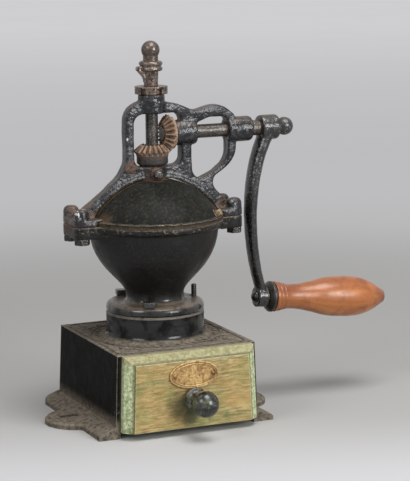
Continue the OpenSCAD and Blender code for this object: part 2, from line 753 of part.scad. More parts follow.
module bearing_screw() {
    color([0.35, 0.33, 0.3]) translate([0, -hub_r - 1.5, screw_z]) rotate([90, 0, 0]) {
        translate([0, 0, -(hub_r + 1.5 - arbor_d / 2 - 0.6)]) cylinder(d = bearing_screw_d, h = hub_r, $fn = 32);
        difference() {
            rotate_extrude($fn = 48) polygon(concat([[0, 0], [4.6, 0]], arc([0, -0.4], 4.9, 20, 90, 6)));
            translate([-5, -0.6, 3.2]) cube([10, 1.2, 3]);
        }
    }
}

// Dome
module shell_profile(r, foot, lip, hole) {
    inner = r - lid_t;
    a_out = asin((foot - dome_z) / r);
    a_in = asin((foot - dome_z) / inner);
    b_out = acos(hole / r);
    b_in = acos(hole / inner);
    difference() {
        union() {
            polygon(concat(arc([0, dome_z], r, a_out, b_out, 24),
                [for (p = arc([0, dome_z], inner, b_in, a_in, 24)) p]));
            if (lip > 0) translate([inner * cos(a_in), foot]) square([lip - inner * cos(a_in), lid_lip_h]);
        }
    }
}

module front_lid() {
    hole = hub_r + run_gap + 0.03;
    span = 180 - 2 * lid_edge_angle;
    color([0.2, 0.21, 0.2]) difference() {
        union() {
            rotate(180 + lid_edge_angle) rotate_extrude(angle = span) shell_profile(dome_r, lid_foot, lip_r, hole);
            intersection() {
                rotate_extrude() shell_profile(dome_r, lid_foot, 0, hole);
                translate([0, 0, rim_z]) cylinder(r = hub_r + 7, h = dome_h + 5);
            }
            on_lid(dome_r - 1) cylinder(d = stud_pad, h = 1.5, $fn = 40);
        }
        on_lid(dome_r - lid_t - 3) cylinder(d = 3 + 2 * hole_gap, h = 12, $fn = 24);
    }
}

// Place something on the lid where its stud stands, pointing outward
module on_lid(r) {
    lift = asin((rim_z + stud_rise - dome_z) / dome_r);
    translate([0, 0, dome_z]) rotate([0, 0, -stud_angle]) rotate([0, 90 - lift, 0]) translate([0, 0, r]) children();
}

module lid_stud() {
    color([0.6, 0.58, 0.52]) on_lid(dome_r + 0.5) {
        translate([0, 0, 2]) cube([stud_head, stud_head, 4], center = true);
        translate([0, 0, -lid_t - 2]) cylinder(d = 3, h = lid_t + 3, $fn = 24);
    }
}

module rear_cover() {
    color([0.2, 0.2, 0.19]) rotate(-8) rotate_extrude(angle = 196) {
        shell_profile(cover_r, rim_z, 0, hub_r + rest_gap);
    }
}

// Burrs
function star(r, n, depth) = [for (i = [0:2 * n - 1]) (i % 2 == 0 ? r : r - depth) *
    [cos(180 * i / n), sin(180 * i / n)]];

module fluted(r0, r1, h, depth, twist) {
    linear_extrude(h, scale = r1 / r0, twist = twist, slices = 6) polygon(star(r0, cone_ribs, depth));
}

module grinding_cone() {
    color([0.35, 0.34, 0.32]) difference() {
        translate([0, 0, cone_foot]) fluted(cone_d / 2, cone_top_d / 2, cone_h, groove_depth, cone_twist);
        translate([0, 0, cone_foot - cut]) cylinder(d = arbor_d + 2 * hole_gap, h = cone_h + 2 * cut);
        translate([0, 0, cone_foot + 6]) rotate([0, 90, 0])
            cylinder(d = gear_pin_d + 2 * hole_gap, h = 2 * cone_d, center = true, $fn = 24);
    }
}

module cone_pin() {
    color([0.5, 0.49, 0.46]) translate([0, 0, cone_foot + 6]) rotate([0, 90, 0])
        cylinder(d = gear_pin_d, h = cone_d - 14, center = true, $fn = 24);
}

module burr_ring() {
    slope = (cone_d - cone_top_d) / 2 / cone_h;
    low = cone_d / 2 - (ring_foot - cut - cone_foot) * slope + grind_gap + groove_depth;
    high = cone_d / 2 - (collar_top + cut - cone_foot) * slope + grind_gap + groove_depth;
    color([0.35, 0.34, 0.32]) difference() {
        translate([0, 0, ring_foot]) cylinder(d = ring_d, h = ring_h);
        translate([0, 0, ring_foot - cut]) rotate(180 / cone_ribs)
            fluted(low, high, ring_h + 2 * cut, groove_depth, ring_twist);
    }
}

// Lower bearing
module lower_bridge() {
    hub = journal_d + 2 * bearing_wall;
    color([0.3, 0.3, 0.29]) difference() {
        union() {
            translate([-bridge_screw_r, -bridge_bar_w / 2, bar_top - bridge_bar_t])
                cube([2 * bridge_screw_r, bridge_bar_w, bridge_bar_t]);
            for (s = [-1, 1]) translate([s * bridge_screw_r, 0, bar_top - bridge_bar_t])
                cylinder(d = bridge_bar_w, h = bridge_bar_t);
            translate([0, 0, bar_top - bridge_bar_t - 2]) cylinder(d = hub, h = bridge_bar_t + 2);
        }
        translate([0, 0, bar_top - bridge_bar_t - 2 - cut]) cylinder(d = journal_d + 2 * run_gap, h = 2 * bridge_bar_t);
        for (s = [-1, 1]) translate([s * bridge_screw_r, 0, bar_top - bridge_bar_t - cut])
            cylinder(d = bridge_screw_d + 2 * hole_gap, h = bridge_bar_t + 2 * cut, $fn = 32);
    }
}

module bridge_screws() {
    color([0.45, 0.44, 0.42]) for (s = [-1, 1]) translate([s * bridge_screw_r, 0, bar_top - bridge_bar_t]) {
        translate([0, 0, -3.5]) cylinder(d = 1.8 * bridge_screw_d, h = 3.5, $fn = 6);
        translate([0, 0, -0.5]) cylinder(d = bridge_screw_d, h = bridge_bar_t + box_top_t - 1.5, $fn = 32);
    }
}

// Arbor
module arbor() {
    r = arbor_d / 2;
    j = journal_d / 2;
    foot = bar_top - bridge_bar_t - 2;
    color([0.3, 0.3, 0.29]) difference() {
        rotate_extrude() polygon([[0, foot + 0.5], [j - 0.8, foot + 0.5], [j, foot + 1.3],
            [j, bar_top + rest_gap], [r, bar_top + rest_gap],
            [r, sleeve_foot], [arbor_tail_d / 2, sleeve_foot], [arbor_tail_d / 2, ring_top],
            [4, ring_top], [4, ball_z - 1], [0, ball_z - 1]]);
        for (z = [cone_foot + 6, crank_z - pin_lift]) translate([0, 0, z]) rotate([0, 90, 0])
            cylinder(d = gear_pin_d + 2 * hole_gap, h = 2 * arbor_d, center = true, $fn = 24);
    }
}

// Bevel gears, apex at the origin, axis down
function inv(a) = tan(a) * 180 / PI - a;
function half_tooth(r, pr) =
    let (base = pr * cos(pressure))
    ((PI * gear_module / 2 - backlash) / (2 * pr)) * 180 / PI + inv(pressure)
        - inv(acos(min(1, base / max(r, base))));
function flank(pr, n) =
    let (low = pr - dedendum - 0.3, high = pr + addendum, base = pr * cos(pressure),
         rs = concat([low], [for (i = [0:n]) max(base, low) + (high - max(base, low)) * i / n]))
    [for (r = rs) [r * cos(half_tooth(r, pr)) - pr, r * sin(half_tooth(r, pr))]];

module bevel_tooth() {
    side = flank(gear_r * sqrt(2), 4);
    translate([gear_r, 0, -gear_r]) rotate([0, -45, 0])
        linear_extrude(gear_face, scale = face_scale)
            polygon(concat(side, [for (i = [len(side) - 1:-1:0]) [side[i][0], -side[i][1]]]));
}

module bevel_gear(hub_d, hub_end, bore, chamfer) {
    difference() {
        union() {
            rotate_extrude() polygon([[0, -face_scale * root_z], [face_scale * root_r, -face_scale * root_z],
                [root_r, -root_z], [max(root_r, hub_d / 2), -gear_back], [hub_d / 2, -gear_back],
                [hub_d / 2, -hub_end + chamfer], [hub_d / 2 - chamfer * 1.2, -hub_end], [0, -hub_end]]);
            for (i = [0:gear_teeth - 1]) rotate(360 * i / gear_teeth) bevel_tooth();
        }
        translate([0, 0, -hub_end - cut]) cylinder(d = bore, h = hub_end + cut);
    }
}

module arbor_gear() {
    color([0.36, 0.3, 0.25]) translate([0, 0, crank_z]) difference() {
        bevel_gear(gear_hub_d, arbor_hub_end - rest_gap, arbor_d + 2 * hole_gap, 2);
        translate([0, 0, -pin_lift]) rotate([0, 90, 0])
            cylinder(d = gear_pin_d + 2 * hole_gap, h = 2 * gear_hub_d, center = true, $fn = 24);
    }
}

module arbor_gear_pin() {
    color([0.45, 0.42, 0.38]) translate([0, 0, crank_z - pin_lift]) rotate([0, 90, 0])
        cylinder(d = gear_pin_d, h = gear_hub_d - 0.4, center = true, $fn = 24);
}

module crank_gear() {
    color([0.36, 0.3, 0.25]) translate([0, 0, crank_z]) difference() {
        rotate([0, -90, 0]) rotate(180 / gear_teeth)
            bevel_gear(pinion_hub_d, pinion_end, shaft_d + 2 * hole_gap, 0);
        translate([pin_x, 0, 0]) cylinder(d = gear_pin_d + 2 * hole_gap, h = 2 * pinion_hub_d, center = true, $fn = 24);
    }
}

module crank_gear_pin() {
    color([0.45, 0.42, 0.38]) translate([pin_x, 0, crank_z])
        cylinder(d = gear_pin_d, h = 2 * root_r * pin_x / root_z - 2, center = true, $fn = 24);
}

// Top of the arbor
module adjusting_nut() {
    color([0.33, 0.31, 0.28]) difference() {
        union() {
            translate([0, 0, boss_top - bush_len]) cylinder(d = bush_d, h = bush_len + rest_gap);
            difference() {
                translate([0, 0, boss_top + rest_gap]) cylinder(d = adjust_d, h = adjust_t - rest_gap);
                for (i = [0:adjust_notches - 1]) rotate(360 * (i + 0.5) / adjust_notches + 8)
                    translate([adjust_d / 2 - notch_depth, -notch_w / 2, boss_top])
                        cube([adjust_d, notch_w, adjust_t - 1.6]);
            }
        }
        translate([0, 0, boss_top - bush_len - cut]) cylinder(d = arbor_d + 2 * run_gap, h = bush_len + adjust_t + 2 * cut);
    }
}

module top_collar() {
    r = sleeve_ring_d / 2;
    mid = sleeve_head + sleeve_ring_h / 2;
    color([0.36, 0.33, 0.3]) difference() {
        union() {
            rotate_extrude() polygon(concat([[0, sleeve_foot], [sleeve_foot_d / 2, sleeve_foot],
                [sleeve_foot_d / 2, sleeve_foot + 4], [sleeve_head_d / 2, sleeve_head], [r - 1.6, sleeve_head]],
                arc([r - 2, sleeve_head + 2], 2, -75, 60, 4), [[r - 1.4, mid]],
                arc([r - 2, ring_top - 2], 2, -50, 80, 4), [[r - 3, ring_top], [0, ring_top]]));
            mirror([1, 0, 0]) upright(5) polygon(concat([[arbor_tail_d / 2 + 0.4, sleeve_foot + 3]],
                bezier([sleeve_foot_d / 2, sleeve_foot + 3], [sleeve_foot_d / 2 + 0.4, sleeve_foot + 9],
                    [r - 1, sleeve_head - 4], [r + 1.4, sleeve_head], 6),
                [[r + 1.4, sleeve_head + 4.2], [arbor_tail_d / 2 + 0.4, sleeve_head + 4.2]]));
        }
        translate([0, 0, sleeve_foot - cut]) cylinder(d = arbor_tail_d + 2 * hole_gap, h = ring_top - sleeve_foot + 2 * cut);
        translate([-arbor_tail_d / 2 + 1, 0, sleeve_head + 2.2]) rotate([0, -90, 0])
            cylinder(d = 3.6 + 2 * hole_gap, h = r + 2, $fn = 24);
    }
}

module collar_screw() {
    start = arbor_tail_d / 2 + 0.2;
    color([0.3, 0.28, 0.26]) translate([-start, 0, sleeve_head + 2.2]) rotate([0, -90, 0])
        difference() {
            cylinder(d = 3.6, h = sleeve_ring_d / 2 - start + 3, $fn = 24);
            translate([-3, -0.4, sleeve_ring_d / 2 - start + 2]) cube([6, 0.8, 2]);
        }
}

module ball_finial() {
    r = finial_d / 2;
    n = finial_neck_d / 2;
    low = -asin(sqrt(1 - n * n / r / r));
    color([0.36, 0.34, 0.31]) difference() {
        rotate_extrude() polygon(concat([[0, ring_top], [n, ring_top]], arc([0, ball_z], r, low, 90, 16)));
        translate([0, 0, ring_top - cut]) cylinder(r = 4 + hole_gap, h = ball_z - ring_top + cut);
    }
}

// Crank
module crank_shaft() {
    r = shaft_d / 2;
    color([0.3, 0.3, 0.3]) difference() {
        union() {
            translate([0, 0, crank_z]) rotate([0, 90, 0]) rotate_extrude()
                polygon([[0, shaft_start], [r, shaft_start], [r, shoulder_start], [shoulder_d / 2, shoulder_start],
                    [shoulder_d / 2, hub_start], [0, hub_start]]);
            translate([hub_start - cut, -square_w / 2, crank_z - square_w / 2])
                cube([arm_hub_len + cut - 0.2, square_w, square_w]);
            translate([hub_end - cut, 0, crank_z]) rotate([0, 90, 0]) cylinder(d = tail_d, h = ball_nut_d * 0.7);
        }
        translate([pin_x, 0, crank_z])
            cylinder(d = gear_pin_d + 2 * hole_gap, h = 2 * shaft_d, center = true, $fn = 24);
    }
}

// Oval rings along a path in the XZ plane, joined into one skin
function ring_at(path, i, w, t, sides) =
    let (n = len(path) - 1, f = i / n,
         d = unit(path[min(i + 1, n)] - path[max(i - 1, 0)]),
         hw = (w[0] + (w[1] - w[0]) * f) / 2, ht = (t[0] + (t[1] - t[0]) * f) / 2)
    [for (k = [0:sides - 1]) let (a = 360 * k / sides)
        [path[i][0] - d[1] * ht * cos(a), hw * sin(a), path[i][1] + d[0] * ht * cos(a)]];

module sweep(path, w, t, sides) {
    n = len(path);
    rings = [for (i = [0:n - 1]) each ring_at(path, i, w, t, sides)];
    skin = [for (i = [0:n - 2], k = [0:sides - 1])
        let (a = i * sides + k, b = i * sides + (k + 1) % sides) each [[a, b, a + sides], [b, b + sides, a + sides]]];
    polyhedron(points = rings, faces = concat(skin,
        [[for (k = [sides - 1:-1:0]) k]], [[for (k = [0:sides - 1]) (n - 1) * sides + k]]));
}

// Frame of the grip: origin in the eye, +Z out along the drooping spindle
module grip_frame() {
    translate([eye_x, 0, eye_z]) rotate([0, 90 + droop, 0]) children();
}

module crank_arm() {
    path = bezier([hub_mid, crank_z - 3], [hub_mid - arm_bow_top, crank_z - 39],
        [eye_x - arm_bow_low, eye_z + 47], [eye_x + 1.2, eye_z + 3], 14);
    r = arm_hub_d / 2;
    color([0.17, 0.18, 0.18]) difference() {
        union() {
            sweep(path, [arm_w_top, arm_w_low], [arm_t_top, arm_t_low], 16);
            translate([hub_start, 0, crank_z]) rotate([0, 90, 0]) rotate_extrude()
                polygon(concat([[0, 0]], arc([r - 1.5, 1.5], 1.5, -90, 0, 3),
                    arc([r - 2.5, arm_hub_len - 2.5], 2.5, 0, 90, 4), [[0, arm_hub_len]]));
            grip_frame() translate([0, 0, -eye_t / 2]) cylinder(d = eye_d, h = eye_t);
        }
        translate([hub_start - cut, -square_w / 2 - hole_gap, crank_z - square_w / 2 - hole_gap])
            cube([arm_hub_len + 2 * cut, square_w + 2 * hole_gap, square_w + 2 * hole_gap]);
        along_x(shoulder_start, hub_start, crank_z) circle(d = shoulder_d + 2 * rest_gap);
        grip_frame() translate([0, 0, -eye_t]) cylinder(d = tail_d + 2 * hole_gap, h = 2 * eye_t);
    }
}

module crank_ball_nut() {
    r = ball_nut_d / 2;
    n = ball_nut_neck_d / 2;
    neck = 1.4;
    mid = neck + sqrt(r * r - n * n);
    color([0.2, 0.2, 0.2]) translate([hub_end, 0, crank_z]) rotate([0, 90, 0]) difference() {
        rotate_extrude() polygon(concat([[0, 0], [n, 0]], arc([0, mid], r, asin((neck - mid) / r), 90, 14)));
        translate([0, 0, -cut]) cylinder(d = tail_d + 2 * hole_gap, h = ball_nut_d * 0.7 + cut);
    }
}

module grip_spindle() {
    reach = grip_start + grip_len - 7;
    color([0.4, 0.4, 0.39]) grip_frame() {
        translate([0, 0, -eye_t / 2 - 2]) cylinder(d = tail_d, h = eye_t + 2.5);
        translate([0, 0, eye_t / 2]) cylinder(d = spindle_d, h = reach - eye_t / 2 - 2);
        translate([0, 0, reach - 2.2]) cylinder(r = 3, h = 3.4);
        translate([0, 0, reach + 1]) cylinder(d1 = 8, d2 = 5, h = 1.2);
    }
}

module spindle_nut() {
    color([0.3, 0.3, 0.3]) grip_frame() translate([0, 0, -eye_t / 2]) rotate([180, 0, 0]) difference() {
        rotate_extrude() polygon(concat([[0, 0], [5.2, 0]], arc([0, -1.6], 5.6, 17, 90, 7)));
        translate([0, 0, -cut]) cylinder(d = tail_d + 2 * hole_gap, h = 2.2 + cut);
    }
}

module grip_ferrule() {
    r = ferrule_d / 2;
    color([0.15, 0.13, 0.12]) grip_frame() translate([0, 0, eye_t / 2 + rest_gap]) difference() {
        rotate_extrude() polygon(concat([[0, 0], [r - 3.5, 0]], [[r - 0.8, 2], [r, 3]],
            [[r, ferrule_t - 0.8], [r - 0.8, ferrule_t], [0, ferrule_t]]));
        translate([0, 0, -cut]) cylinder(d = spindle_d + 2 * hole_gap, h = ferrule_t + 2 * cut);
    }
}

module grip() {
    b = grip_bead_d / 2;
    l = grip_len;
    w = grip_waist_d / 2;
    m = grip_d / 2;
    curve = through([[w, grip_bead_len + 8.5], [m - 2.3, 0.43 * l], [m, 0.63 * l], [m - 1.7, 0.79 * l],
        [m - 4.7, 0.885 * l], [m - 10.6, 0.972 * l], [5.6, l]], 4);
    color([0.66, 0.4, 0.2]) grip_frame() translate([0, 0, grip_start]) difference() {
        rotate_extrude() polygon(concat([[0, 0], [b - 2, 0], [b - 0.5, 1]],
            arc([b - 3, grip_bead_len / 2], 3, -35, 35, 4),
            [[b - 1.2, grip_bead_len - 1], [w + 0.8, grip_bead_len + 1.5], [w, grip_bead_len + 5]],
            curve, [[0, l]]));
        translate([0, 0, -cut]) cylinder(d = spindle_d + 2 * run_gap, h = l + 2 * cut);
        translate([0, 0, l - 9]) cylinder(d = 10.6, h = 9 + cut, $fn = 40);
    }
}

module grip_washer() {
    reach = grip_start + grip_len - 7;
    color([0.5, 0.5, 0.48]) grip_frame() translate([0, 0, reach - 1]) difference() {
        cylinder(d = 10, h = 1.6, $fn = 40);
        translate([0, 0, -cut]) cylinder(r = 3 + hole_gap, h = 1.6 + 2 * cut, $fn = 40);
    }
}

// Drawer
function front_half(z) = wall_x(z) - front_inset;
function front_face(y, side, top, low) =
    [[-front_half(low) + side, y, low], [front_half(low) - side, y, low],
     [front_half(front_top) - side, y, front_top - top], [-front_half(front_top) + side, y, front_top - top]];

module drawer_front() {
    color([0.62, 0.62, 0.42]) difference() {
        union() {
            wedge(front_face(front_y - rest_gap, 0, 0, front_low), front_face(edge_y, 0, 0, front_low));
            wedge(front_face(edge_y, 0, 0, front_low),
                front_face(field_y + field_step, bevel_side - 0.8, bevel_top - 0.8, front_low));
            wedge(front_face(edge_y, bevel_side, bevel_top, front_low),
                front_face(field_y, bevel_side, bevel_top, front_low));
            translate([-drawer_half, front_y - rest_gap - 0.5, drawer_foot])
                cube([2 * drawer_half, lip_t + rest_gap + 0.5, bar_top - drawer_foot - 2]);
        }
        translate([0, lip_back + cut, knob_z]) rotate([90, 0, 0])
            cylinder(d = knob_screw_d + 2 * hole_gap, h = lip_back - field_y + 2 * cut, $fn = 32);
        for (s = [-1, 1]) translate([s * pin_pitch / 2, field_y + pin_len + 1, plate_z]) rotate([90, 0, 0])
            cylinder(d = pin_d + 2 * hole_gap, h = pin_len + 2, $fn = 24);
    }
}

module drawer_side(s) {
    translate([s > 0 ? drawer_half - board_t : -drawer_half, lip_back, drawer_foot])
        cube([board_t, drawer_d, drawer_h]);
}

module drawer_left_side() {
    color([0.6, 0.5, 0.34]) drawer_side(-1);
}

module drawer_right_side() {
    color([0.6, 0.5, 0.34]) drawer_side(1);
}

module drawer_back() {
    color([0.6, 0.5, 0.34]) translate([-drawer_half + board_t, drawer_back_y - board_t, drawer_foot])
        cube([2 * (drawer_half - board_t), board_t, drawer_h]);
}

module drawer_bottom() {
    color([0.6, 0.5, 0.34]) translate([-drawer_half + board_t, lip_back, drawer_foot])
        cube([2 * (drawer_half - board_t), drawer_d - board_t, floor_t]);
}

// Frame of the knob: origin on the field, +Z out of the drawer
module knob_frame() {
    translate([0, field_y, knob_z]) rotate([90, 0, 0]) children();
}

module drawer_knob() {
    r = knob_d / 2;
    n = knob_neck_d / 2;
    b = knob_base_d / 2;
    back = -acos(0.62);
    foot = plate_t + plate_rim_h + rest_gap;
    color([0.05, 0.06, 0.05]) knob_frame() difference() {
        rotate_extrude() polygon(concat([[0, 0], [b - 1.8, 0], [b - 1.8, foot]],
            arc([b - 2, foot + 2], 2, -75, 75, 6),
            [[n + 1, foot + 5], [n, foot + 7], [n, 10.5]], arc([0, knob_reach], r, back, 90, 16)));
        translate([0, 0, -cut]) cylinder(d = knob_screw_d + 2 * hole_gap, h = 13 + cut, $fn = 32);
    }
}

module knob_screw() {
    color([0.6, 0.5, 0.3]) knob_frame() {
        translate([0, 0, field_y - lip_back]) cylinder(d = knob_screw_d, h = lip_back - field_y + 12, $fn = 32);
        translate([0, 0, field_y - lip_back - 2.4]) cylinder(d1 = 7, d2 = 9, h = 2.4, $fn = 32);
    }
}

module oval_plate() {
    color([0.6, 0.5, 0.32]) translate([0, field_y, plate_z]) rotate([90, 0, 0]) difference() {
        union() {
            linear_extrude(plate_t) polygon(oval(plate_w, plate_h, 60));
            linear_extrude(plate_t + plate_rim_h) difference() {
                polygon(oval(plate_w, plate_h, 60));
                polygon(oval(plate_w - 3, plate_h - 3, 60));
            }
        }
        for (s = [-1, 1]) translate([s * pin_pitch / 2, 0, -cut]) cylinder(d = pin_d + 2 * hole_gap, h = pin_len, $fn = 24);
    }
}

module plate_pins() {
    color([0.5, 0.4, 0.25]) for (s = [-1, 1]) translate([s * pin_pitch / 2, field_y - plate_t, plate_z])
        rotate([90, 0, 0]) {
            translate([0, 0, -plate_t - pin_len]) cylinder(d = pin_d, h = plate_t + pin_len + 0.5, $fn = 24);
            rotate_extrude($fn = 32) polygon(concat([[0, 0]], arc([0, -0.5], 2.2, 13.2, 90, 5)));
        }
}

base_box();
hopper();
arch_frame();
rear_cover();
front_lid();
lid_stud();
flange_bolts();
flange_stud();
ear_bolts();
bearing_screw();
burr_ring();
lower_bridge();
bridge_screws();
arbor();
arbor_gear();
arbor_gear_pin();
grinding_cone();
cone_pin();
adjusting_nut();
top_collar();
collar_screw();
ball_finial();
crank_shaft();
crank_gear();
crank_gear_pin();
crank_arm();
crank_ball_nut();
grip_spindle();
spindle_nut();
grip_ferrule();
grip();
grip_washer();
drawer_front();
drawer_left_side();
drawer_right_side();
drawer_back();
drawer_bottom();
drawer_knob();
knob_screw();
oval_plate();
plate_pins();
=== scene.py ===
import json
import math
import bmesh
import bpy
from mathutils import Matrix, Vector, noise as lattice


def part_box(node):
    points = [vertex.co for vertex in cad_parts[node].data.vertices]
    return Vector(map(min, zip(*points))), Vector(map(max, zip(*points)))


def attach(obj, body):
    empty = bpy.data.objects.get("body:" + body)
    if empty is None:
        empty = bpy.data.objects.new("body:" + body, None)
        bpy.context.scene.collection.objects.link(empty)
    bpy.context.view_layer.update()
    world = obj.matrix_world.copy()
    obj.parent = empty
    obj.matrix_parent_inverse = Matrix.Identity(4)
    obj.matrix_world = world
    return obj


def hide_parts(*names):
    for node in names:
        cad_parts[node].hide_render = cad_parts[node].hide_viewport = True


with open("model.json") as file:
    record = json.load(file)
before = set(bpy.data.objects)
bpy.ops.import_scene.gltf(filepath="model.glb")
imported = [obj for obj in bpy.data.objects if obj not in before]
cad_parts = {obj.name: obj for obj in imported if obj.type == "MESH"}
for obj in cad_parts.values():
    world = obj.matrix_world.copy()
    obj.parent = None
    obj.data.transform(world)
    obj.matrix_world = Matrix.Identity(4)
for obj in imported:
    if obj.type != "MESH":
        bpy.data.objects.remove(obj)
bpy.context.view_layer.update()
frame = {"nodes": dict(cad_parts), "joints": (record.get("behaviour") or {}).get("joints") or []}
nodes = frame["nodes"]
millimetre = 0.001
print("frame loaded:", len(nodes), "nodes")


# A colour as it is seen on a screen, 0 to 255, turned to the shader's own scale
def paint(red, green, blue):
    values = [c / 255 for c in (red, green, blue)]
    return tuple(c / 12.92 if c <= 0.04045 else ((c + 0.055) / 1.055) ** 2.4 for c in values) + (1.0,)


# Node helpers: a socket value may be a number, a colour or another node's output
def put(tree, kind, sockets=None, **options):
    node = tree.nodes.new(kind)
    for name, value in options.items():
        setattr(node, name, value)
    for name, value in (sockets or {}).items():
        if isinstance(value, bpy.types.NodeSocket):
            tree.links.new(value, node.inputs[name])
        else:
            node.inputs[name].default_value = value
    return node


def calc(tree, operation, a, b=0.0, clamp=False, c=0.0):
    return put(tree, "ShaderNodeMath", {0: a, 1: b, 2: c}, operation=operation, use_clamp=clamp).outputs[0]


def mixColour(tree, factor, a, b, blend="MIX"):
    node = put(tree, "ShaderNodeMix", {0: factor, 6: a, 7: b}, data_type="RGBA", blend_type=blend)
    return node.outputs[2]


def fit(tree, value, low, high, toLow=0.0, toHigh=1.0, smooth=False):
    kind = "SMOOTHSTEP" if smooth else "LINEAR"
    sockets = {"Value": value, "From Min": low, "From Max": high, "To Min": toLow, "To Max": toHigh}
    return put(tree, "ShaderNodeMapRange", sockets, interpolation_type=kind).outputs["Result"]


def noise(tree, vector, scale, detail=3.0, roughness=0.55, distortion=0.0):
    sockets = {"Vector": vector, "Scale": scale, "Detail": detail, "Roughness": roughness,
               "Distortion": distortion}
    return put(tree, "ShaderNodeTexNoise", sockets).outputs["Fac"]


def ramp(tree, value, stops):
    node = put(tree, "ShaderNodeValToRGB", {"Fac": value})
    while len(node.color_ramp.elements) < len(stops):
        node.color_ramp.elements.new(0.5)
    for element, (place, colour) in zip(node.color_ramp.elements, stops):
        element.position = place
        element.color = colour
    return node.outputs["Color"]


def objectPlace(tree):
    return put(tree, "ShaderNodeTexCoord").outputs["Object"]


# Places on the piece in millimetres: (x, y, z, reach) is round one point, (z, reach) is a level band
def zoneMask(tree, spots):
    place = objectPlace(tree)
    height = put(tree, "ShaderNodeSeparateXYZ", {0: place}).outputs["Z"]
    mask = None
    for *centre, reach in spots:
        if len(centre) == 1:
            gap = calc(tree, "ABSOLUTE", calc(tree, "SUBTRACT", height, centre[0] * millimetre))
        else:
            point = tuple(c * millimetre for c in centre)
            gap = put(tree, "ShaderNodeVectorMath", {0: place, 1: point}, operation="DISTANCE").outputs["Value"]
        part = fit(tree, gap, reach * millimetre, reach * 0.3 * millimetre, 0.0, 1.0, True)
        mask = part if mask is None else calc(tree, "MAXIMUM", mask, part)
    return mask


# A plain amount, raised by gain inside the zones
def zoned(tree, amount, gain, spots):
    if not spots:
        return amount
    return calc(tree, "MULTIPLY_ADD", zoneMask(tree, spots), gain, c=amount)


# A shader node group with named sockets; fill(tree, inputs) returns its outputs by name
def makeGroup(name, inputs, outputs, fill):
    tree = bpy.data.node_groups.new(name, "ShaderNodeTree")
    kinds = {"value": "NodeSocketFloat", "colour": "NodeSocketColor", "vector": "NodeSocketVector"}
    for label, (kind, start) in inputs.items():
        socket = tree.interface.new_socket(name=label, in_out="INPUT", socket_type=kinds[kind])
        if start is not None:
            socket.default_value = start
    for label, kind in outputs.items():
        tree.interface.new_socket(name=label, in_out="OUTPUT", socket_type=kinds[kind])
    entry = tree.nodes.new("NodeGroupInput")
    leave = tree.nodes.new("NodeGroupOutput")
    for label, socket in fill(tree, entry.outputs).items():
        tree.links.new(socket, leave.inputs[label])
    return tree


def useGroup(tree, group, **sockets):
    node = tree.nodes.new("ShaderNodeGroup")
    node.node_tree = group
    for label, value in sockets.items():
        name = label[0].upper() + "".join(" " + c if c.isupper() else c for c in label[1:])
        if isinstance(value, bpy.types.NodeSocket):
            tree.links.new(value, node.inputs[name])
        else:
            node.inputs[name].default_value = value
    return node.outputs


# Sand-cast skin: fine grain, soft lumps and small pits, with pale flecks on the grain's peaks that are partly bare
# metal and partly painted glints, and painted shade in the grain's hollows
def fillCastSkin(tree, given):
    place = objectPlace(tree)
    grain = noise(tree, place, given["Grain Scale"], given["Detail"], 0.6)
    lumps = noise(tree, place, calc(tree, "MULTIPLY", given["Grain Scale"], 0.16), 2.0, 0.5, 0.4)
    cells = put(tree, "ShaderNodeTexVoronoi",
                {"Vector": place, "Scale": calc(tree, "MULTIPLY", given["Grain Scale"], 0.55)}).outputs["Distance"]
    pits = fit(tree, cells, 0.0, 0.28, 1.0, 0.0, True)
    height = calc(tree, "MULTIPLY", grain, given["Grain"])
    height = calc(tree, "ADD", height, calc(tree, "MULTIPLY", lumps, given["Lumps"]))
    height = calc(tree, "SUBTRACT", height, calc(tree, "MULTIPLY", pits, given["Pits"]))
    return {"Height": height, "Fleck Glint": fit(tree, grain, 0.52, 0.66, 0.0, 1.0, True), "Broad": lumps,
            "Pit Shade": fit(tree, grain, 0.46, 0.32, 0.0, 1.0, True)}


castSkin = makeGroup("castSkin", {
    "Grain Scale": ("value", 700.0), "Detail": ("value", 4.0), "Grain": ("value", 1.0),
    "Lumps": ("value", 1.0), "Pits": ("value", 0.3),
}, {"Height": "value", "Fleck Glint": "value", "Broad": "value", "Pit Shade": "value"}, fillCastSkin)


# Rounded edges for the light, and a broken mask where hands and knocks wear them
def fillEdgeWear(tree, given):
    soft = put(tree, "ShaderNodeBevel", {"Radius": given["Radius"]}, samples=6).outputs["Normal"]
    plain = put(tree, "ShaderNodeNewGeometry").outputs["Normal"]
    turned = put(tree, "ShaderNodeVectorMath", {0: soft, 1: plain}, operation="DOT_PRODUCT").outputs["Value"]
    edge = fit(tree, turned, 0.995, 0.86, 0.0, 1.0, True)
    patches = noise(tree, objectPlace(tree), given["Patch Scale"], 4.0, 0.65)
    limit = fit(tree, given["Amount"], 0.0, 1.0, 0.8, 0.25)
    broken = fit(tree, patches, limit, calc(tree, "ADD", limit, 0.12), 0.0, 1.0, True)
    return {"Mask": calc(tree, "MULTIPLY", edge, broken, True), "Normal": soft}


edgeWear = makeGroup("edgeWear", {
    "Radius": ("value", 0.0009), "Patch Scale": ("value", 260.0), "Amount": ("value", 0.5),
}, {"Mask": "value", "Normal": "vector"}, fillEdgeWear)


# Dust that lies on upward faces and packs into corners
def fillSettledDust(tree, given):
    normal = put(tree, "ShaderNodeTexCoord").outputs["Normal"]
    upward = put(tree, "ShaderNodeSeparateXYZ", {0: normal}).outputs["Z"]
    flat = calc(tree, "MULTIPLY", fit(tree, upward, 0.35, 0.95, 0.0, 1.0, True), given["Flats"])
    open_ = put(tree, "ShaderNodeAmbientOcclusion", {"Distance": given["Reach"]}, samples=8,
                only_local=False).outputs["AO"]
    corner = calc(tree, "MULTIPLY", fit(tree, open_, 0.8, 0.35, 0.0, 1.0, True), given["Corners"])
    patches = noise(tree, objectPlace(tree), given["Patch Scale"], 5.0, 0.68, 0.3)
    amount = calc(tree, "ADD", calc(tree, "ADD", flat, corner), given["Extra"], True)
    mask = calc(tree, "MULTIPLY", amount, fit(tree, patches, 0.3, 0.62, 0.25, 1.0, True), True)
    return {"Mask": mask}


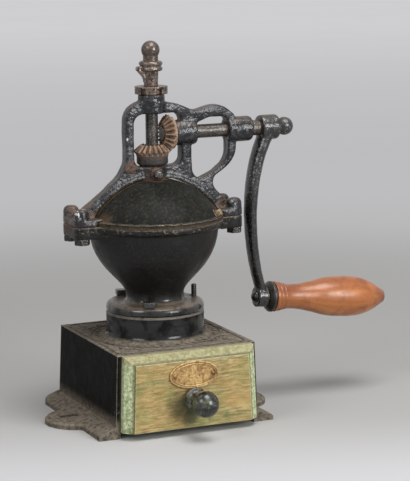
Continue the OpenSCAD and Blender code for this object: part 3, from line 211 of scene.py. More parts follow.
settledDust = makeGroup("settledDust", {
    "Flats": ("value", 0.8), "Corners": ("value", 0.7), "Reach": ("value", 0.006), "Patch Scale": ("value", 120.0),
    "Extra": ("value", 0.0),
}, {"Mask": "value"}, fillSettledDust)


# Thin rust in blotches, with its own change of colour
def fillRustBloom(tree, given):
    place = objectPlace(tree)
    blotch = noise(tree, place, given["Patch Scale"], 5.0, 0.7, 0.5)
    limit = fit(tree, given["Amount"], 0.0, 1.0, 0.78, 0.28)
    mask = fit(tree, blotch, limit, calc(tree, "ADD", limit, 0.16), 0.0, 1.0, True)
    tone = noise(tree, place, calc(tree, "MULTIPLY", given["Patch Scale"], 4.0), 3.0, 0.6)
    colour = ramp(tree, tone, [(0.25, paint(58, 40, 30)), (0.5, paint(96, 66, 46)), (0.75, paint(132, 92, 62))])
    return {"Mask": mask, "Colour": colour, "Height": tone}


rustBloom = makeGroup("rustBloom", {
    "Patch Scale": ("value", 90.0), "Amount": ("value", 0.3),
}, {"Mask": "value", "Colour": "colour", "Height": "value"}, fillRustBloom)


# Wood with fibres along the first axis of its place
def fillWoodFibre(tree, given):
    along = put(tree, "ShaderNodeMapping", {"Vector": given["Place"], "Scale": (0.055, 1.0, 1.0)}).outputs[0]
    fibre = noise(tree, along, given["Fibre Scale"], 5.0, 0.65, 0.2)
    broad = noise(tree, along, calc(tree, "MULTIPLY", given["Fibre Scale"], 0.14), 2.0, 0.5, 0.8)
    short = put(tree, "ShaderNodeMapping", {"Vector": given["Place"], "Scale": (0.2, 1.0, 1.0)}).outputs[0]
    pores = noise(tree, short, calc(tree, "MULTIPLY", given["Fibre Scale"], 2.4), 2.0, 0.7)
    pores = fit(tree, pores, 0.6, 0.72, 0.0, 1.0, True)
    height = calc(tree, "SUBTRACT", fibre, calc(tree, "MULTIPLY", pores, 0.6))
    return {"Fibre": fibre, "Broad": broad, "Pores": pores, "Height": height}


woodFibre = makeGroup("woodFibre", {
    "Place": ("vector", None), "Fibre Scale": ("value", 900.0),
}, {"Fibre": "value", "Broad": "value", "Pores": "value", "Height": "value"}, fillWoodFibre)
print("node groups ready")


def newMaterial(name):
    material = bpy.data.materials.new(name)
    material.use_nodes = True
    tree = material.node_tree
    tree.nodes.clear()
    shader = tree.nodes.new("ShaderNodeBsdfPrincipled")
    output = tree.nodes.new("ShaderNodeOutputMaterial")
    tree.links.new(shader.outputs[0], output.inputs["Surface"])
    return material, tree, shader


def join(tree, shader, **sockets):
    names = {"colour": "Base Color", "roughness": "Roughness", "metallic": "Metallic", "normal": "Normal",
             "coat": "Coat Weight", "coatRoughness": "Coat Roughness", "specular": "Specular IOR Level"}
    for label, value in sockets.items():
        if isinstance(value, bpy.types.NodeSocket):
            tree.links.new(value, shader.inputs[names[label]])
        else:
            shader.inputs[names[label]].default_value = value


def bump(tree, height, strength, distance, normal=None):
    sockets = {"Height": height, "Strength": strength, "Distance": distance}
    if normal is not None:
        sockets["Normal"] = normal
    return put(tree, "ShaderNodeBump", sockets).outputs["Normal"]


# Old metal of every kind: a coat or bare skin with wear, dust and rust over it, and painted light on the grain and
# edges: glints, pit shade and edge highlights
def metalMaterial(name, look):
    material, tree, shader = newMaterial(name)
    skin = useGroup(tree, castSkin, grainScale=look["grainScale"], detail=look["grainDetail"],
                    grain=look["grain"], lumps=look["lumps"], pits=look["pits"])
    edge = useGroup(tree, edgeWear, radius=look["edgeRadius"], patchScale=look["edgePatches"],
                    amount=zoned(tree, look["edgeAmount"], 0.5, look["chipSpots"]))
    dust = useGroup(tree, settledDust, flats=look["dustFlats"], corners=look["dustCorners"],
                    reach=look["dustReach"], patchScale=look["dustPatches"],
                    extra=zoned(tree, 0.0, look["dustGain"], look["dustSpots"]))
    rust = useGroup(tree, rustBloom, patchScale=look["rustPatches"],
                    amount=zoned(tree, look["rustAmount"], look["rustGain"], look["rustSpots"]))
    rustMask = calc(tree, "MULTIPLY", rust["Mask"], look["rustCover"])
    colour = mixColour(tree, fit(tree, skin["Broad"], 0.3, 0.7), paint(*look["coat"]), paint(*look["coatLight"]))
    # painted shade in the grain's hollows, tinted brown as grime and patina on the rusty and brass metals
    colour = mixColour(tree, calc(tree, "MULTIPLY", skin["Pit Shade"], look["hollow"]), colour,
                       paint(*look["hollowColour"]))
    # pale flecks on the grain's peaks: partly bare metal, partly painted glints
    colour = mixColour(tree, calc(tree, "MULTIPLY", skin["Fleck Glint"], look["speckle"]), colour,
                       paint(*look["speckleColour"]))
    if look["tintSpots"]:
        tint = calc(tree, "MULTIPLY", zoneMask(tree, look["tintSpots"]), look["tint"])
        colour = mixColour(tree, tint, colour, paint(*look["tintColour"]))
    colour = mixColour(tree, rustMask, colour, rust["Colour"])
    # pale bare metal on worn edges and chips, partly a painted highlight along the rounded edges of the arch and arm
    worn = edge["Mask"]
    if look["chipSpots"]:
        flakes = fit(tree, noise(tree, objectPlace(tree), look["chipScale"], 3.0, 0.6), 0.57, 0.62, 0.0, 1.0, True)
        chips = calc(tree, "MULTIPLY", flakes, zoneMask(tree, look["chipSpots"]))
        worn = calc(tree, "MAXIMUM", worn, calc(tree, "MULTIPLY", chips, look["chips"]))
    colour = mixColour(tree, worn, colour, paint(*look["bare"]))
    colour = mixColour(tree, dust["Mask"], colour, paint(*look["dust"]))
    rough = fit(tree, skin["Broad"], 0.3, 0.7, look["roughLow"], look["roughHigh"])
    if look["glossSpots"]:
        gloss = calc(tree, "MULTIPLY", zoneMask(tree, look["glossSpots"]), fit(tree, skin["Broad"], 0.3, 0.6, 1.0, 0.7))
        rough = calc(tree, "MULTIPLY", rough, calc(tree, "MULTIPLY_ADD", gloss, look["gloss"] * -1.0, c=1.0))
    cover = calc(tree, "MAXIMUM", dust["Mask"], rustMask)
    rough = calc(tree, "ADD", rough, calc(tree, "MULTIPLY", cover, 0.38), True)
    shine = calc(tree, "SUBTRACT", 1.0, cover, True)
    metallic = fit(tree, worn, 0.0, 1.0, look["metallic"], look["bareMetallic"])
    metallic = calc(tree, "MULTIPLY", metallic, shine)
    height = calc(tree, "ADD", skin["Height"], calc(tree, "MULTIPLY", cover, look["dustHeight"]))
    normal = bump(tree, height, look["bumpStrength"], look["bumpDepth"], edge["Normal"])
    join(tree, shader, colour=colour, roughness=rough, metallic=metallic, normal=normal,
         specular=look["specular"])
    if look["coatSpots"]:
        film = fit(tree, skin["Broad"], 0.35, 0.6, 0.25, 1.0, True)
        film = calc(tree, "MULTIPLY", calc(tree, "MULTIPLY", film, zoneMask(tree, look["coatSpots"])), shine)
        join(tree, shader, coat=film, coatRoughness=look["coatRoughness"])
    return material


# What the metals share; each one then names only where it differs
oldMetal = {
    "coat": (30, 31, 31), "coatLight": (40, 41, 41), "bare": (158, 156, 152), "dust": (112, 99, 86),
    # speckle: pale flecks, partly painted glints; hollow: painted shade in the grain's hollows
    "speckle": 0.25, "speckleColour": (86, 86, 86), "hollow": 0.2, "hollowColour": (14, 13, 12),
    "metallic": 0.0, "bareMetallic": 0.5, "specular": 0.5,
    "roughLow": 0.32, "roughHigh": 0.46, "grainScale": 800.0, "grainDetail": 3.0, "grain": 0.6, "lumps": 1.2, "pits": 0.3,
    "bumpStrength": 0.5, "bumpDepth": 0.0006, "edgeRadius": 0.0009, "edgePatches": 260.0, "edgeAmount": 0.5,
    "dustFlats": 0.4, "dustCorners": 0.6, "dustReach": 0.006, "dustPatches": 140.0, "dustHeight": 0.3,
    "rustPatches": 110.0, "rustAmount": 0.2, "rustCover": 0.6,
    "chipSpots": [], "chips": 0.9, "chipScale": 480.0, "dustSpots": [], "dustGain": 0.7,
    "rustSpots": [], "rustGain": 0.4, "tintSpots": [], "tintColour": (50, 46, 42), "tint": 0.8,
    "glossSpots": [], "gloss": 0.6, "coatSpots": [], "coatRoughness": 0.14,
}
lugSpots = [(-70, 0, 176, 30), (70, 0, 176, 24)]


def metalLook(**changes):
    return {**oldMetal, **changes}


boxLook = metalLook(coat=(5, 5, 5), coatLight=(11, 10, 9), specular=0.05, roughLow=0.5, roughHigh=0.62,
                    coatSpots=[(82, 14)], coatRoughness=0.18, speckle=0.25, speckleColour=(46, 42, 38), dustFlats=1.0, dustCorners=0.45, dust=(130, 120, 107),
                    dustPatches=260.0, bare=(150, 146, 136), edgeAmount=0.85, edgeRadius=0.0012, grainScale=560.0,
                    grain=0.9, bumpStrength=0.7, dustHeight=0.5, rustAmount=0.2, rustCover=0.5,
                    rustSpots=[(-84, -30, 4, 26), (84, -40, 4, 24)], rustGain=0.3,
                    dustSpots=[(3, 18)], dustGain=0.9, chipSpots=[(-64, -72, 12, 22)], chips=0.5)
bowlLook = metalLook(coat=(15, 15, 15), coatLight=(24, 24, 23), specular=0.25, roughLow=0.32, roughHigh=0.48,
                     coatSpots=[(97, 12)], speckle=0.3, speckleColour=(60, 58, 54), grainScale=620.0, grain=0.35, lumps=1.0, pits=0.15,
                     bumpStrength=0.5, dustFlats=0.85, dustCorners=0.7, dust=(132, 118, 102), dustPatches=230.0,
                     rustAmount=0.16, rustSpots=lugSpots + [(-40, -32, 174, 14)], rustGain=0.5, bare=(140, 132, 118),
                     glossSpots=[(97, 13)], gloss=0.5,
                     chipSpots=lugSpots + [(168.5, 4)], chips=0.5, chipScale=420.0)
domeLook = metalLook(coat=(21, 21, 19), coatLight=(36, 36, 33), specular=0.07, roughLow=0.4, roughHigh=0.55,
                     speckle=0.35, speckleColour=(74, 72, 62), hollow=0.5, grainScale=420.0, grain=0.3, lumps=1.0,
                     pits=0.1, bumpStrength=0.3, dustFlats=0.0, dustCorners=0.9, dust=(112, 92, 72),
                     dustSpots=[(170, 5), (-54, -20, 176, 13), (54, -24, 176, 14)], dustGain=0.4,
                     bare=(158, 149, 132), edgeAmount=0.8, rustAmount=0.1)
archLook = metalLook(coat=(15, 16, 19), coatLight=(27, 29, 34), speckle=0.3, speckleColour=(98, 99, 104),
                     hollow=0.8, hollowColour=(9, 9, 10), roughLow=0.2, roughHigh=0.34, specular=0.52,
                     grainScale=330.0, grainDetail=2.0, grain=0.9, lumps=3.4, pits=0.25, bumpStrength=0.75,
                     bumpDepth=0.0009,
                     edgeRadius=0.0018, edgePatches=170.0, edgeAmount=0.45, dustFlats=0.35, dustCorners=0.8,
                     dust=(112, 90, 72), dustReach=0.008, bare=(206, 204, 199), bareMetallic=0.1,
                     glossSpots=[(86, -8, 246, 15), (40, -8, 246, 14), (0, -8, 272, 12)], gloss=0.4,
                     rustAmount=0.26, rustCover=0.75,
                     rustSpots=lugSpots + [(-20, -6, 219, 12), (0, -8, 212, 16)], rustGain=0.45,
                     chipSpots=[(-27, -8, 243, 11), (-76, -16, 186, 10), (74, -16, 186, 10)], chips=1.5,
                     chipScale=190.0)
armLook = metalLook(coat=(20, 20, 20), coatLight=(33, 34, 34), specular=0.75, roughLow=0.18, roughHigh=0.32,
                    grainDetail=1.5, speckle=0.3, speckleColour=(84, 84, 80), hollow=0.5, grainScale=420.0, grain=0.8, lumps=1.2,
                    pits=0.3, bumpStrength=0.7, edgeAmount=0.7, dustFlats=0.25, dustCorners=0.4,
                    rustAmount=0.22, rustSpots=[(104, -6, 244, 13)], rustGain=0.3,
                    chipSpots=[(96, -8, 200, 18), (122, -8, 244, 10)], chips=0.7)
shaftLook = metalLook(coat=(58, 56, 54), coatLight=(84, 80, 76), metallic=0.6, roughLow=0.26, roughHigh=0.42,
                      hollow=0.5, hollowColour=(40, 30, 26), grain=0.5, lumps=0.8, bumpStrength=0.45, dustFlats=0.2,
                      dustCorners=0.8, dust=(96, 66, 52), rustAmount=0.35, rustCover=0.75, speckle=0.4,
                      speckleColour=(168, 160, 150), rustSpots=[(96, 0, 244, 10), (40, 0, 244, 8)], rustGain=0.35)
topLook = metalLook(coat=(82, 71, 64), coatLight=(126, 112, 103), metallic=0.6, roughLow=0.2, roughHigh=0.36,
                    hollow=0.8, hollowColour=(28, 22, 20), grain=0.7, lumps=1.6, bumpStrength=0.7, dustFlats=0.25,
                    dustCorners=0.8, dust=(104, 80, 70), rustAmount=0.32, rustCover=0.5, speckle=0.35,
                    speckleColour=(158, 148, 138), grainScale=420.0, grainDetail=1.5,
                    tintSpots=[(0, 0, 318, 15)], tintColour=(50, 48, 42), tint=0.5)
gearLook = metalLook(coat=(116, 92, 74), coatLight=(168, 138, 114), metallic=0.1, roughLow=0.5, roughHigh=0.7,
                     hollow=0.7, hollowColour=(48, 34, 26), speckle=0.5, speckleColour=(158, 130, 108),
                     grain=1.2, lumps=1.0, pits=0.5, bumpStrength=0.7, bare=(170, 144, 118), edgeAmount=0.6,
                     dustFlats=0.1, dustCorners=1.0, dust=(44, 30, 24), dustReach=0.004, rustAmount=0.5,
                     rustCover=0.7, tintSpots=[(218, 15)], tintColour=(44, 42, 40), tint=1.0)
boltLook = metalLook(coat=(26, 25, 24), coatLight=(50, 47, 43), metallic=0.3, roughLow=0.16, roughHigh=0.32,
                     hollow=0.6, speckle=0.5, speckleColour=(116, 108, 98), grainScale=560.0, grain=1.2,
                     lumps=1.2, bumpStrength=0.8, edgeAmount=0.75, dustFlats=0.5, dustCorners=0.7,
                     dust=(118, 96, 78), rustAmount=0.35, rustCover=0.7)
flangeBoltLook = metalLook(coat=(13, 13, 13), coatLight=(30, 29, 28), specular=0.7, roughLow=0.16, roughHigh=0.3,
                           speckle=0.3, speckleColour=(96, 92, 86), grain=0.8, lumps=1.0, bumpStrength=0.6,
                           edgeAmount=0.6, dustFlats=0.08, dustCorners=0.5, dust=(112, 98, 84), rustAmount=0.1)
burrLook = metalLook(coat=(104, 100, 94), coatLight=(128, 122, 114), metallic=0.6, roughLow=0.4, roughHigh=0.55,
                     rustAmount=0.35, rustCover=0.6)
studLook = metalLook(coat=(150, 118, 82), coatLight=(206, 188, 156), metallic=0.6, roughLow=0.25,
                     roughHigh=0.4, hollow=0.6, hollowColour=(96, 64, 42), grain=0.8, lumps=0.8, bumpStrength=0.6,
                     dustFlats=0.2, dustCorners=0.9, dust=(104, 68, 46), rustAmount=0.35)
ferruleLook = metalLook(coat=(30, 26, 24), coatLight=(46, 40, 36), roughLow=0.3, roughHigh=0.45, grain=0.5,
                        lumps=0.8, bumpStrength=0.5, dustFlats=0.1, dustCorners=0.3, rustAmount=0.1)
pinLook = metalLook(coat=(118, 80, 44), coatLight=(178, 134, 84), metallic=0.4, roughLow=0.25, roughHigh=0.4,
                    dustFlats=0.0, dustCorners=0.8, dust=(66, 38, 24), dustReach=0.0015, rustAmount=0.2)
brassLook = metalLook(coat=(150, 112, 66), coatLight=(206, 172, 112), metallic=0.5, roughLow=0.3,
                      roughHigh=0.5, hollow=0.8, hollowColour=(112, 76, 46), speckle=0.6,
                      speckleColour=(226, 198, 140), grainScale=420.0, grain=0.7, lumps=0.7, pits=0.3,
                      bumpStrength=0.5, bare=(232, 206, 150), edgeAmount=0.75, dustFlats=0.0, dustCorners=1.0,
                      dust=(96, 66, 40), dustReach=0.0025, rustAmount=0.4, rustCover=0.5)

metalPieces = {
    "boxIron": (boxLook, ["base_box", "lower_bridge"]),
    "bowlIron": (bowlLook, ["hopper"]),
    "domeIron": (domeLook, ["front_lid", "rear_cover"]),
    "archIron": (archLook, ["arch_frame"]),
    "armIron": (armLook, ["crank_arm", "crank_ball_nut", "spindle_nut"]),
    "shaftSteel": (shaftLook, ["arbor", "crank_shaft", "grip_spindle", "grip_washer", "cone_pin"]),
    "topSteel": (topLook, ["adjusting_nut", "top_collar", "ball_finial"]),
    "gearIron": (gearLook, ["arbor_gear", "crank_gear", "arbor_gear_pin", "crank_gear_pin"]),
    "boltIron": (boltLook, ["ear_bolts", "bearing_screw", "bridge_screws", "collar_screw"]),
    "flangeBoltIron": (flangeBoltLook, ["flange_bolts", "flange_stud"]),
    "burrIron": (burrLook, ["grinding_cone", "burr_ring"]),
    "studSteel": (studLook, ["lid_stud"]),
    "ferruleDark": (ferruleLook, ["grip_ferrule"]),
    "plateBrass": (brassLook, ["oval_plate"]),
    "pinBrass": (pinLook, ["plate_pins", "knob_screw"]),
}


# Green-stained drawer front: stain deepest in the bevels, rubbed through on the field, with the knob's shadow and the
# field's step shadow painted on
drawerLook = {
    "fibreScale": 600.0, "shorten": 3.0, "yellow": (178, 142, 84), "tan": (124, 104, 60), "pale": (192, 174, 124),
    "green": (136, 142, 82), "deepGreen": (96, 112, 64), "pore": (74, 66, 38), "edge": (214, 218, 184),
    "bevelGreen": (142, 154, 108), "bevelPale": (206, 214, 176), "bevelTop": (138, 122, 82), "stepShadow": (66, 58, 34), "knobShadowStain": (58, 64, 40),
    "roughLow": 0.45, "roughHigh": 0.68, "bumpStrength": 0.6, "bumpDepth": 0.0005,
    "fieldStart": 0.0005, "fieldEnd": 0.0022, "topBand": 0.009, "stainDepth": 0.0131, "bareBack": (132, 102, 66), "knobShadowSpots": [(-13, -83, 25, 15), (-4, -83, 16, 12)],
}


def drawerMaterial(look):
    material, tree, shader = newMaterial("drawerGreen")
    place = objectPlace(tree)
    low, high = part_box("drawer_front")
    across = put(tree, "ShaderNodeMapping", {"Vector": place, "Scale": (look["shorten"], 1.0, 1.0)}).outputs[0]
    wood = useGroup(tree, woodFibre, place=across, fibreScale=look["fibreScale"])
    edge = useGroup(tree, edgeWear, radius=0.0014, patchScale=180.0, amount=0.85)
    base = mixColour(tree, fit(tree, wood["Fibre"], 0.38, 0.62), paint(*look["tan"]), paint(*look["pale"]))
    base = mixColour(tree, fit(tree, wood["Broad"], 0.35, 0.7, 0.0, 0.7), base, paint(*look["yellow"]))
    depth = put(tree, "ShaderNodeSeparateXYZ", {0: place}).outputs["Y"]
    onBevel = fit(tree, depth, low.y + look["fieldStart"], low.y + look["fieldEnd"], 0.0, 1.0, True)
    patches = noise(tree, place, 42.0, 5.0, 0.65, 0.6)
    stain = fit(tree, patches, 0.38, 0.62, 0.05, 0.8, True)
    stain = calc(tree, "MULTIPLY", stain, fit(tree, wood["Fibre"], 0.34, 0.62, 1.0, 0.35))
    fieldGreen = mixColour(tree, fit(tree, noise(tree, place, 150.0, 3.0), 0.35, 0.65), paint(*look["green"]),
                           paint(*look["deepGreen"]))
    field = mixColour(tree, stain, base, fieldGreen)
    mottle = fit(tree, noise(tree, place, 420.0, 4.0, 0.7, 0.3), 0.36, 0.6, 0.0, 1.0, True)
    bevel = mixColour(tree, mottle, paint(*look["bevelGreen"]), paint(*look["bevelPale"]))
    streak = fit(tree, noise(tree, place, 160.0, 4.0, 0.7, 0.5), 0.5, 0.64, 0.0, 0.7, True)
    bevel = mixColour(tree, streak, bevel, paint(*look["deepGreen"]))
    height = put(tree, "ShaderNodeSeparateXYZ", {0: place}).outputs["Z"]
    onTop = fit(tree, height, high.z - look["topBand"], high.z - 0.3 * look["topBand"], 0.0, 0.7, True)
    bevel = mixColour(tree, onTop, bevel, paint(*look["bevelTop"]))
    colour = mixColour(tree, onBevel, field, bevel)
    colour = mixColour(tree, calc(tree, "MULTIPLY", wood["Pores"], 0.95), colour, paint(*look["pore"]))
    # painted shadow of the knob, left of and below it, mixed with dark stain
    knobShadowStain = zoneMask(tree, look["knobShadowSpots"])
    knobShadowStain = calc(tree, "MULTIPLY", knobShadowStain, fit(tree, patches, 0.3, 0.6, 0.5, 0.95))
    colour = mixColour(tree, knobShadowStain, colour, paint(*look["knobShadowStain"]))
    # painted shadow line along the step between the field and the bevel
    stepShadow = calc(tree, "MULTIPLY", fit(tree, depth, low.y + 0.0002, low.y + 0.0006, 0.0, 0.5, True),
                  fit(tree, depth, low.y + 0.0017, low.y + 0.0026, 1.0, 0.0, True))
    colour = mixColour(tree, stepShadow, colour, paint(*look["stepShadow"]))
    bright = calc(tree, "MULTIPLY", edge["Mask"], fit(tree, stepShadow, 0.0, 0.25, 0.75, 0.0))
    colour = mixColour(tree, bright, colour, paint(*look["edge"]))
    # the back of the front was never stained
    bare = fit(tree, depth, low.y + look["stainDepth"] - 0.0004, low.y + look["stainDepth"], 0.0, 1.0, True)
    colour = mixColour(tree, bare, colour, mixColour(tree, 0.55, base, paint(*look["bareBack"])))
    rough = fit(tree, wood["Fibre"], 0.3, 0.7, look["roughLow"], look["roughHigh"])
    normal = bump(tree, wood["Height"], look["bumpStrength"], look["bumpDepth"], edge["Normal"])
    join(tree, shader, colour=colour, roughness=rough, normal=normal, specular=0.35)
    return material


# Bare boards of the drawer; the fibres run along each board
boardLook = {"fibreScale": 700.0, "dark": (128, 98, 64), "light": (176, 144, 100), "pore": (84, 62, 40)}


def boardMaterial(name, alongY, look):
    material, tree, shader = newMaterial(name)
    turn = math.pi / 2 if alongY else 0.0
    place = put(tree, "ShaderNodeMapping", {"Vector": objectPlace(tree), "Rotation": (0, 0, turn)}).outputs[0]
    wood = useGroup(tree, woodFibre, place=place, fibreScale=look["fibreScale"])
    edge = useGroup(tree, edgeWear, radius=0.0006, patchScale=200.0, amount=0.4)
    dust = useGroup(tree, settledDust, flats=0.25, corners=0.7, reach=0.008, patchScale=90.0)
    colour = mixColour(tree, fit(tree, wood["Broad"], 0.35, 0.65), paint(*look["dark"]), paint(*look["light"]))
    colour = mixColour(tree, calc(tree, "MULTIPLY", wood["Pores"], 0.6), colour, paint(*look["pore"]))
    colour = mixColour(tree, calc(tree, "MULTIPLY", dust["Mask"], 0.7), colour, paint(88, 70, 50))
    rough = fit(tree, wood["Fibre"], 0.3, 0.7, 0.6, 0.8)
    normal = bump(tree, wood["Height"], 0.4, 0.0004, edge["Normal"])
    join(tree, shader, colour=colour, roughness=rough, normal=normal, specular=0.3)
    return material


# Turned grip: warm varnished wood, darker at the neck, and darker towards the tip from hand wear and painted shade
gripLook = {
    "fibreScale": 620.0, "light": (184, 116, 62), "mid": (150, 84, 42), "dark": (104, 50, 28),
    "pore": (92, 46, 26), "coat": 0.42, "coatRoughness": 0.24, "roughLow": 0.3, "roughHigh": 0.46,
    "tipStart": 104.0, "tipEnd": 122.0, "neckStart": 17.0, "neckEnd": 42.0,
}


def gripMaterial(look):
    material, tree, shader = newMaterial("gripWood")
    axis = gripAxis()
    tilt = math.atan2(-axis.z, axis.x)
    place = put(tree, "ShaderNodeMapping", {"Vector": objectPlace(tree), "Rotation": (0, -tilt, 0)}).outputs[0]
    wood = useGroup(tree, woodFibre, place=place, fibreScale=look["fibreScale"])
    blotch = noise(tree, place, 60.0, 4.0, 0.6, 0.8)
    colour = mixColour(tree, fit(tree, wood["Broad"], 0.3, 0.7), paint(*look["mid"]), paint(*look["light"]))
    colour = mixColour(tree, fit(tree, blotch, 0.45, 0.75, 0.0, 0.6, True), colour, paint(*look["dark"]))
    colour = mixColour(tree, calc(tree, "MULTIPLY", wood["Pores"], 0.7), colour, paint(*look["pore"]))
    fromEye = put(tree, "ShaderNodeVectorMath", {0: objectPlace(tree), 1: gripEye()}, operation="SUBTRACT").outputs[0]
    along = put(tree, "ShaderNodeVectorMath", {0: fromEye, 1: axis}, operation="DOT_PRODUCT").outputs["Value"]
    # darker towards the tip: hand wear and painted shade at the far end
    tipShadeAndWear = fit(tree, along, look["tipStart"] * millimetre, look["tipEnd"] * millimetre, 0.0, 0.8, True)
    neck = fit(tree, along, look["neckStart"] * millimetre, look["neckEnd"] * millimetre, 0.5, 0.0, True)
    darker = calc(tree, "MULTIPLY", calc(tree, "MAXIMUM", tipShadeAndWear, neck), fit(tree, blotch, 0.3, 0.6, 0.5, 1.0, True))
    colour = mixColour(tree, darker, colour, paint(*look["dark"]))
    dirt = useGroup(tree, settledDust, flats=0.0, corners=0.9, reach=0.0025, patchScale=200.0)
    colour = mixColour(tree, dirt["Mask"], colour, paint(84, 44, 26))
    rough = fit(tree, blotch, 0.3, 0.7, look["roughLow"], look["roughHigh"])
    normal = bump(tree, wood["Height"], 0.08, 0.0003)
    join(tree, shader, colour=colour, roughness=rough, normal=normal, coat=look["coat"],
         coatRoughness=look["coatRoughness"], specular=0.4)
    return material


# Glossy black knob, its lacquer rubbed brown on the base ring
knobLook = {"black": (14, 17, 13), "worn": (120, 102, 98), "film": (92, 100, 80), "roughLow": 0.16,
            "roughHigh": 0.34}


def knobMaterial(look):
    material, tree, shader = newMaterial("knobBlack")
    place = objectPlace(tree)
    low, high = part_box("drawer_knob")
    depth = put(tree, "ShaderNodeSeparateXYZ", {0: place}).outputs["Y"]
    onBase = fit(tree, depth, high.y - 0.012, high.y - 0.002, 0.0, 1.0, True)
    patches = noise(tree, place, 220.0, 4.0, 0.65)
    rubbed = fit(tree, patches, 0.5, 0.66, 0.0, 1.0, True)
    mask = calc(tree, "MULTIPLY", rubbed, fit(tree, onBase, 0.0, 1.0, 0.18, 0.85))
    cloud = fit(tree, noise(tree, place, 130.0, 5.0, 0.7, 0.8), 0.46, 0.62, 0.0, 0.8, True)
    colour = mixColour(tree, cloud, paint(*look["black"]), paint(*look["film"]))
    colour = mixColour(tree, mask, colour, paint(*look["worn"]))
    rough = fit(tree, patches, 0.35, 0.7, look["roughLow"], look["roughHigh"])
    rough = calc(tree, "ADD", rough, calc(tree, "MULTIPLY", mask, 0.3), True)
    skin = useGroup(tree, castSkin, grainScale=500.0, grain=0.15, lumps=0.8, pits=0.1)
    normal = bump(tree, skin["Height"], 0.15, 0.0003)
    join(tree, shader, colour=colour, roughness=rough, normal=normal, specular=0.6)
    return material


# Axis of the grip in the row frame, from the joint that it spins on
def gripAxis():
    spin = next(joint for joint in frame["joints"] if joint["name"] == "grip_spin")
    return Vector(spin["axis"]).normalized()


def gripEye():
    spin = next(joint for joint in frame["joints"] if joint["name"] == "grip_spin")
    return Vector(spin["pos_m"])


# Turned grip in millimetres: bead and two cut lines at the inner end, then one smooth outline of
# (place, radius) up to the tip, with the recess for the washer and the bore
turning = {
    "beadRadius": 13.5, "beadRound": 1.0, "lines": (4.2, 8.6), "lineDepth": 0.55, "lineHalf": 0.7,
    "outline": [(6.0, 12.9), (9.6, 12.0), (14.5, 11.1), (22.0, 11.1), (30.0, 12.2), (40.0, 14.2), (50.0, 16.7),
                (60.0, 17.9), (74.0, 18.3), (84.0, 17.5), (92.0, 15.6), (99.0, 12.8), (104.5, 9.9), (108.6, 7.4)],
    "tipRadius": 5.6, "recessRadius": 5.3, "recessDepth": 9.0, "boreRadius": 4.7, "steps": 96,
}


def smoothThrough(points, steps):
    curve = []
    for i in range(len(points) - 1):
        a, b, c, d = (Vector(points[min(max(k, 0), len(points) - 1)]) for k in (i - 1, i, i + 1, i + 2))
        for k in range(steps):
            t = k / steps
            curve.append(b + 0.5 * t * (c - a + t * (2 * a - 5 * b + 4 * c - d + t * (3 * b - a - 3 * c + d))))
    return curve + [Vector(points[-1])]


def turnedProfile(look, length):
    round_, bead = look["beadRound"], look["beadRadius"]
    corner = [(round_ * (1 - math.cos(a)), bead - round_ * (1 - math.sin(a)))
              for a in (math.pi * k / 12 for k in range(7))]
    outline = smoothThrough([(2.5, bead)] + look["outline"] + [(length, look["tipRadius"])], 14)
    profile = [Vector((0, look["boreRadius"]))] + [Vector(p) for p in corner]
    for point in outline:
        cut = sum(look["lineDepth"] * math.exp(-((point.x - line) / look["lineHalf"]) ** 2)
                  for line in look["lines"])
        profile.append(Vector((point.x, point.y - cut)))
    profile.append(Vector((length, look["recessRadius"])))
    profile.append(Vector((length - look["recessDepth"], look["recessRadius"])))
    profile.append(Vector((length - look["recessDepth"], look["boreRadius"])))
    return profile


def turnGrip(look):
    eye, axis = gripEye(), gripAxis()
    across = Vector((0, 1, 0))
    upward = axis.cross(across)
    places = [(vertex.co - eye).dot(axis) for vertex in nodes["grip"].data.vertices]
    start = min(places)
    bm = bmesh.new()
    rings = []
    for point in turnedProfile(look, (max(places) - start) / millimetre):
        centre = eye + axis * (start + point.x * millimetre)
        rings.append([bm.verts.new(centre + (across * math.cos(a) + upward * math.sin(a)) * point.y * millimetre)
                      for a in (math.tau * k / look["steps"] for k in range(look["steps"]))])
    for a, b in zip(rings, rings[1:] + rings[:1]):
        for k in range(look["steps"]):
            bm.faces.new((a[k], a[(k + 1) % look["steps"]], b[(k + 1) % look["steps"]], b[k]))
    piece = meshPiece("turned_grip", bm, nodes["grip"].data.materials[0], "handle")
    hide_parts("grip")
    softEdges(piece, 50)


# Smooth shading with true edges: welds the doubled corners of a CAD mesh on the way to the render
def makeSoftShading():
    tree = bpy.data.node_groups.new("softShading", "GeometryNodeTree")
    tree.interface.new_socket(name="Mesh", in_out="INPUT", socket_type="NodeSocketGeometry")
    tree.interface.new_socket(name="Edge Angle", in_out="INPUT", socket_type="NodeSocketFloat")
    tree.interface.new_socket(name="Mesh", in_out="OUTPUT", socket_type="NodeSocketGeometry")
    entry = tree.nodes.new("NodeGroupInput")
    leave = tree.nodes.new("NodeGroupOutput")
    weld = put(tree, "GeometryNodeMergeByDistance", {"Geometry": entry.outputs["Mesh"], "Distance": 2e-6})
    smooth = put(tree, "GeometryNodeSetShadeSmooth", {"Geometry": weld.outputs[0]}, domain="FACE")
    angle = tree.nodes.new("GeometryNodeInputMeshEdgeAngle")
    sharp = put(tree, "FunctionNodeCompare", {"A": angle.outputs["Unsigned Angle"], "B": entry.outputs["Edge Angle"]},
                data_type="FLOAT", operation="GREATER_THAN")
    split = put(tree, "GeometryNodeSetShadeSmooth", {"Geometry": smooth.outputs[0], "Selection": sharp.outputs[0],
                "Shade Smooth": False}, domain="EDGE")
    tree.links.new(split.outputs[0], leave.inputs["Mesh"])
    return tree


softShading = makeSoftShading()
edgeAngles = {"front_lid": 24, "rear_cover": 24, "crank_arm": 40, "arbor_gear": 28, "crank_gear": 28}


def softEdges(piece, angle):
    modifier = piece.modifiers.new("softShading", "NODES")
    modifier.node_group = softShading
    socket = next(item.identifier for item in softShading.interface.items_tree if item.name == "Edge Angle")
    modifier[socket] = math.radians(angle)


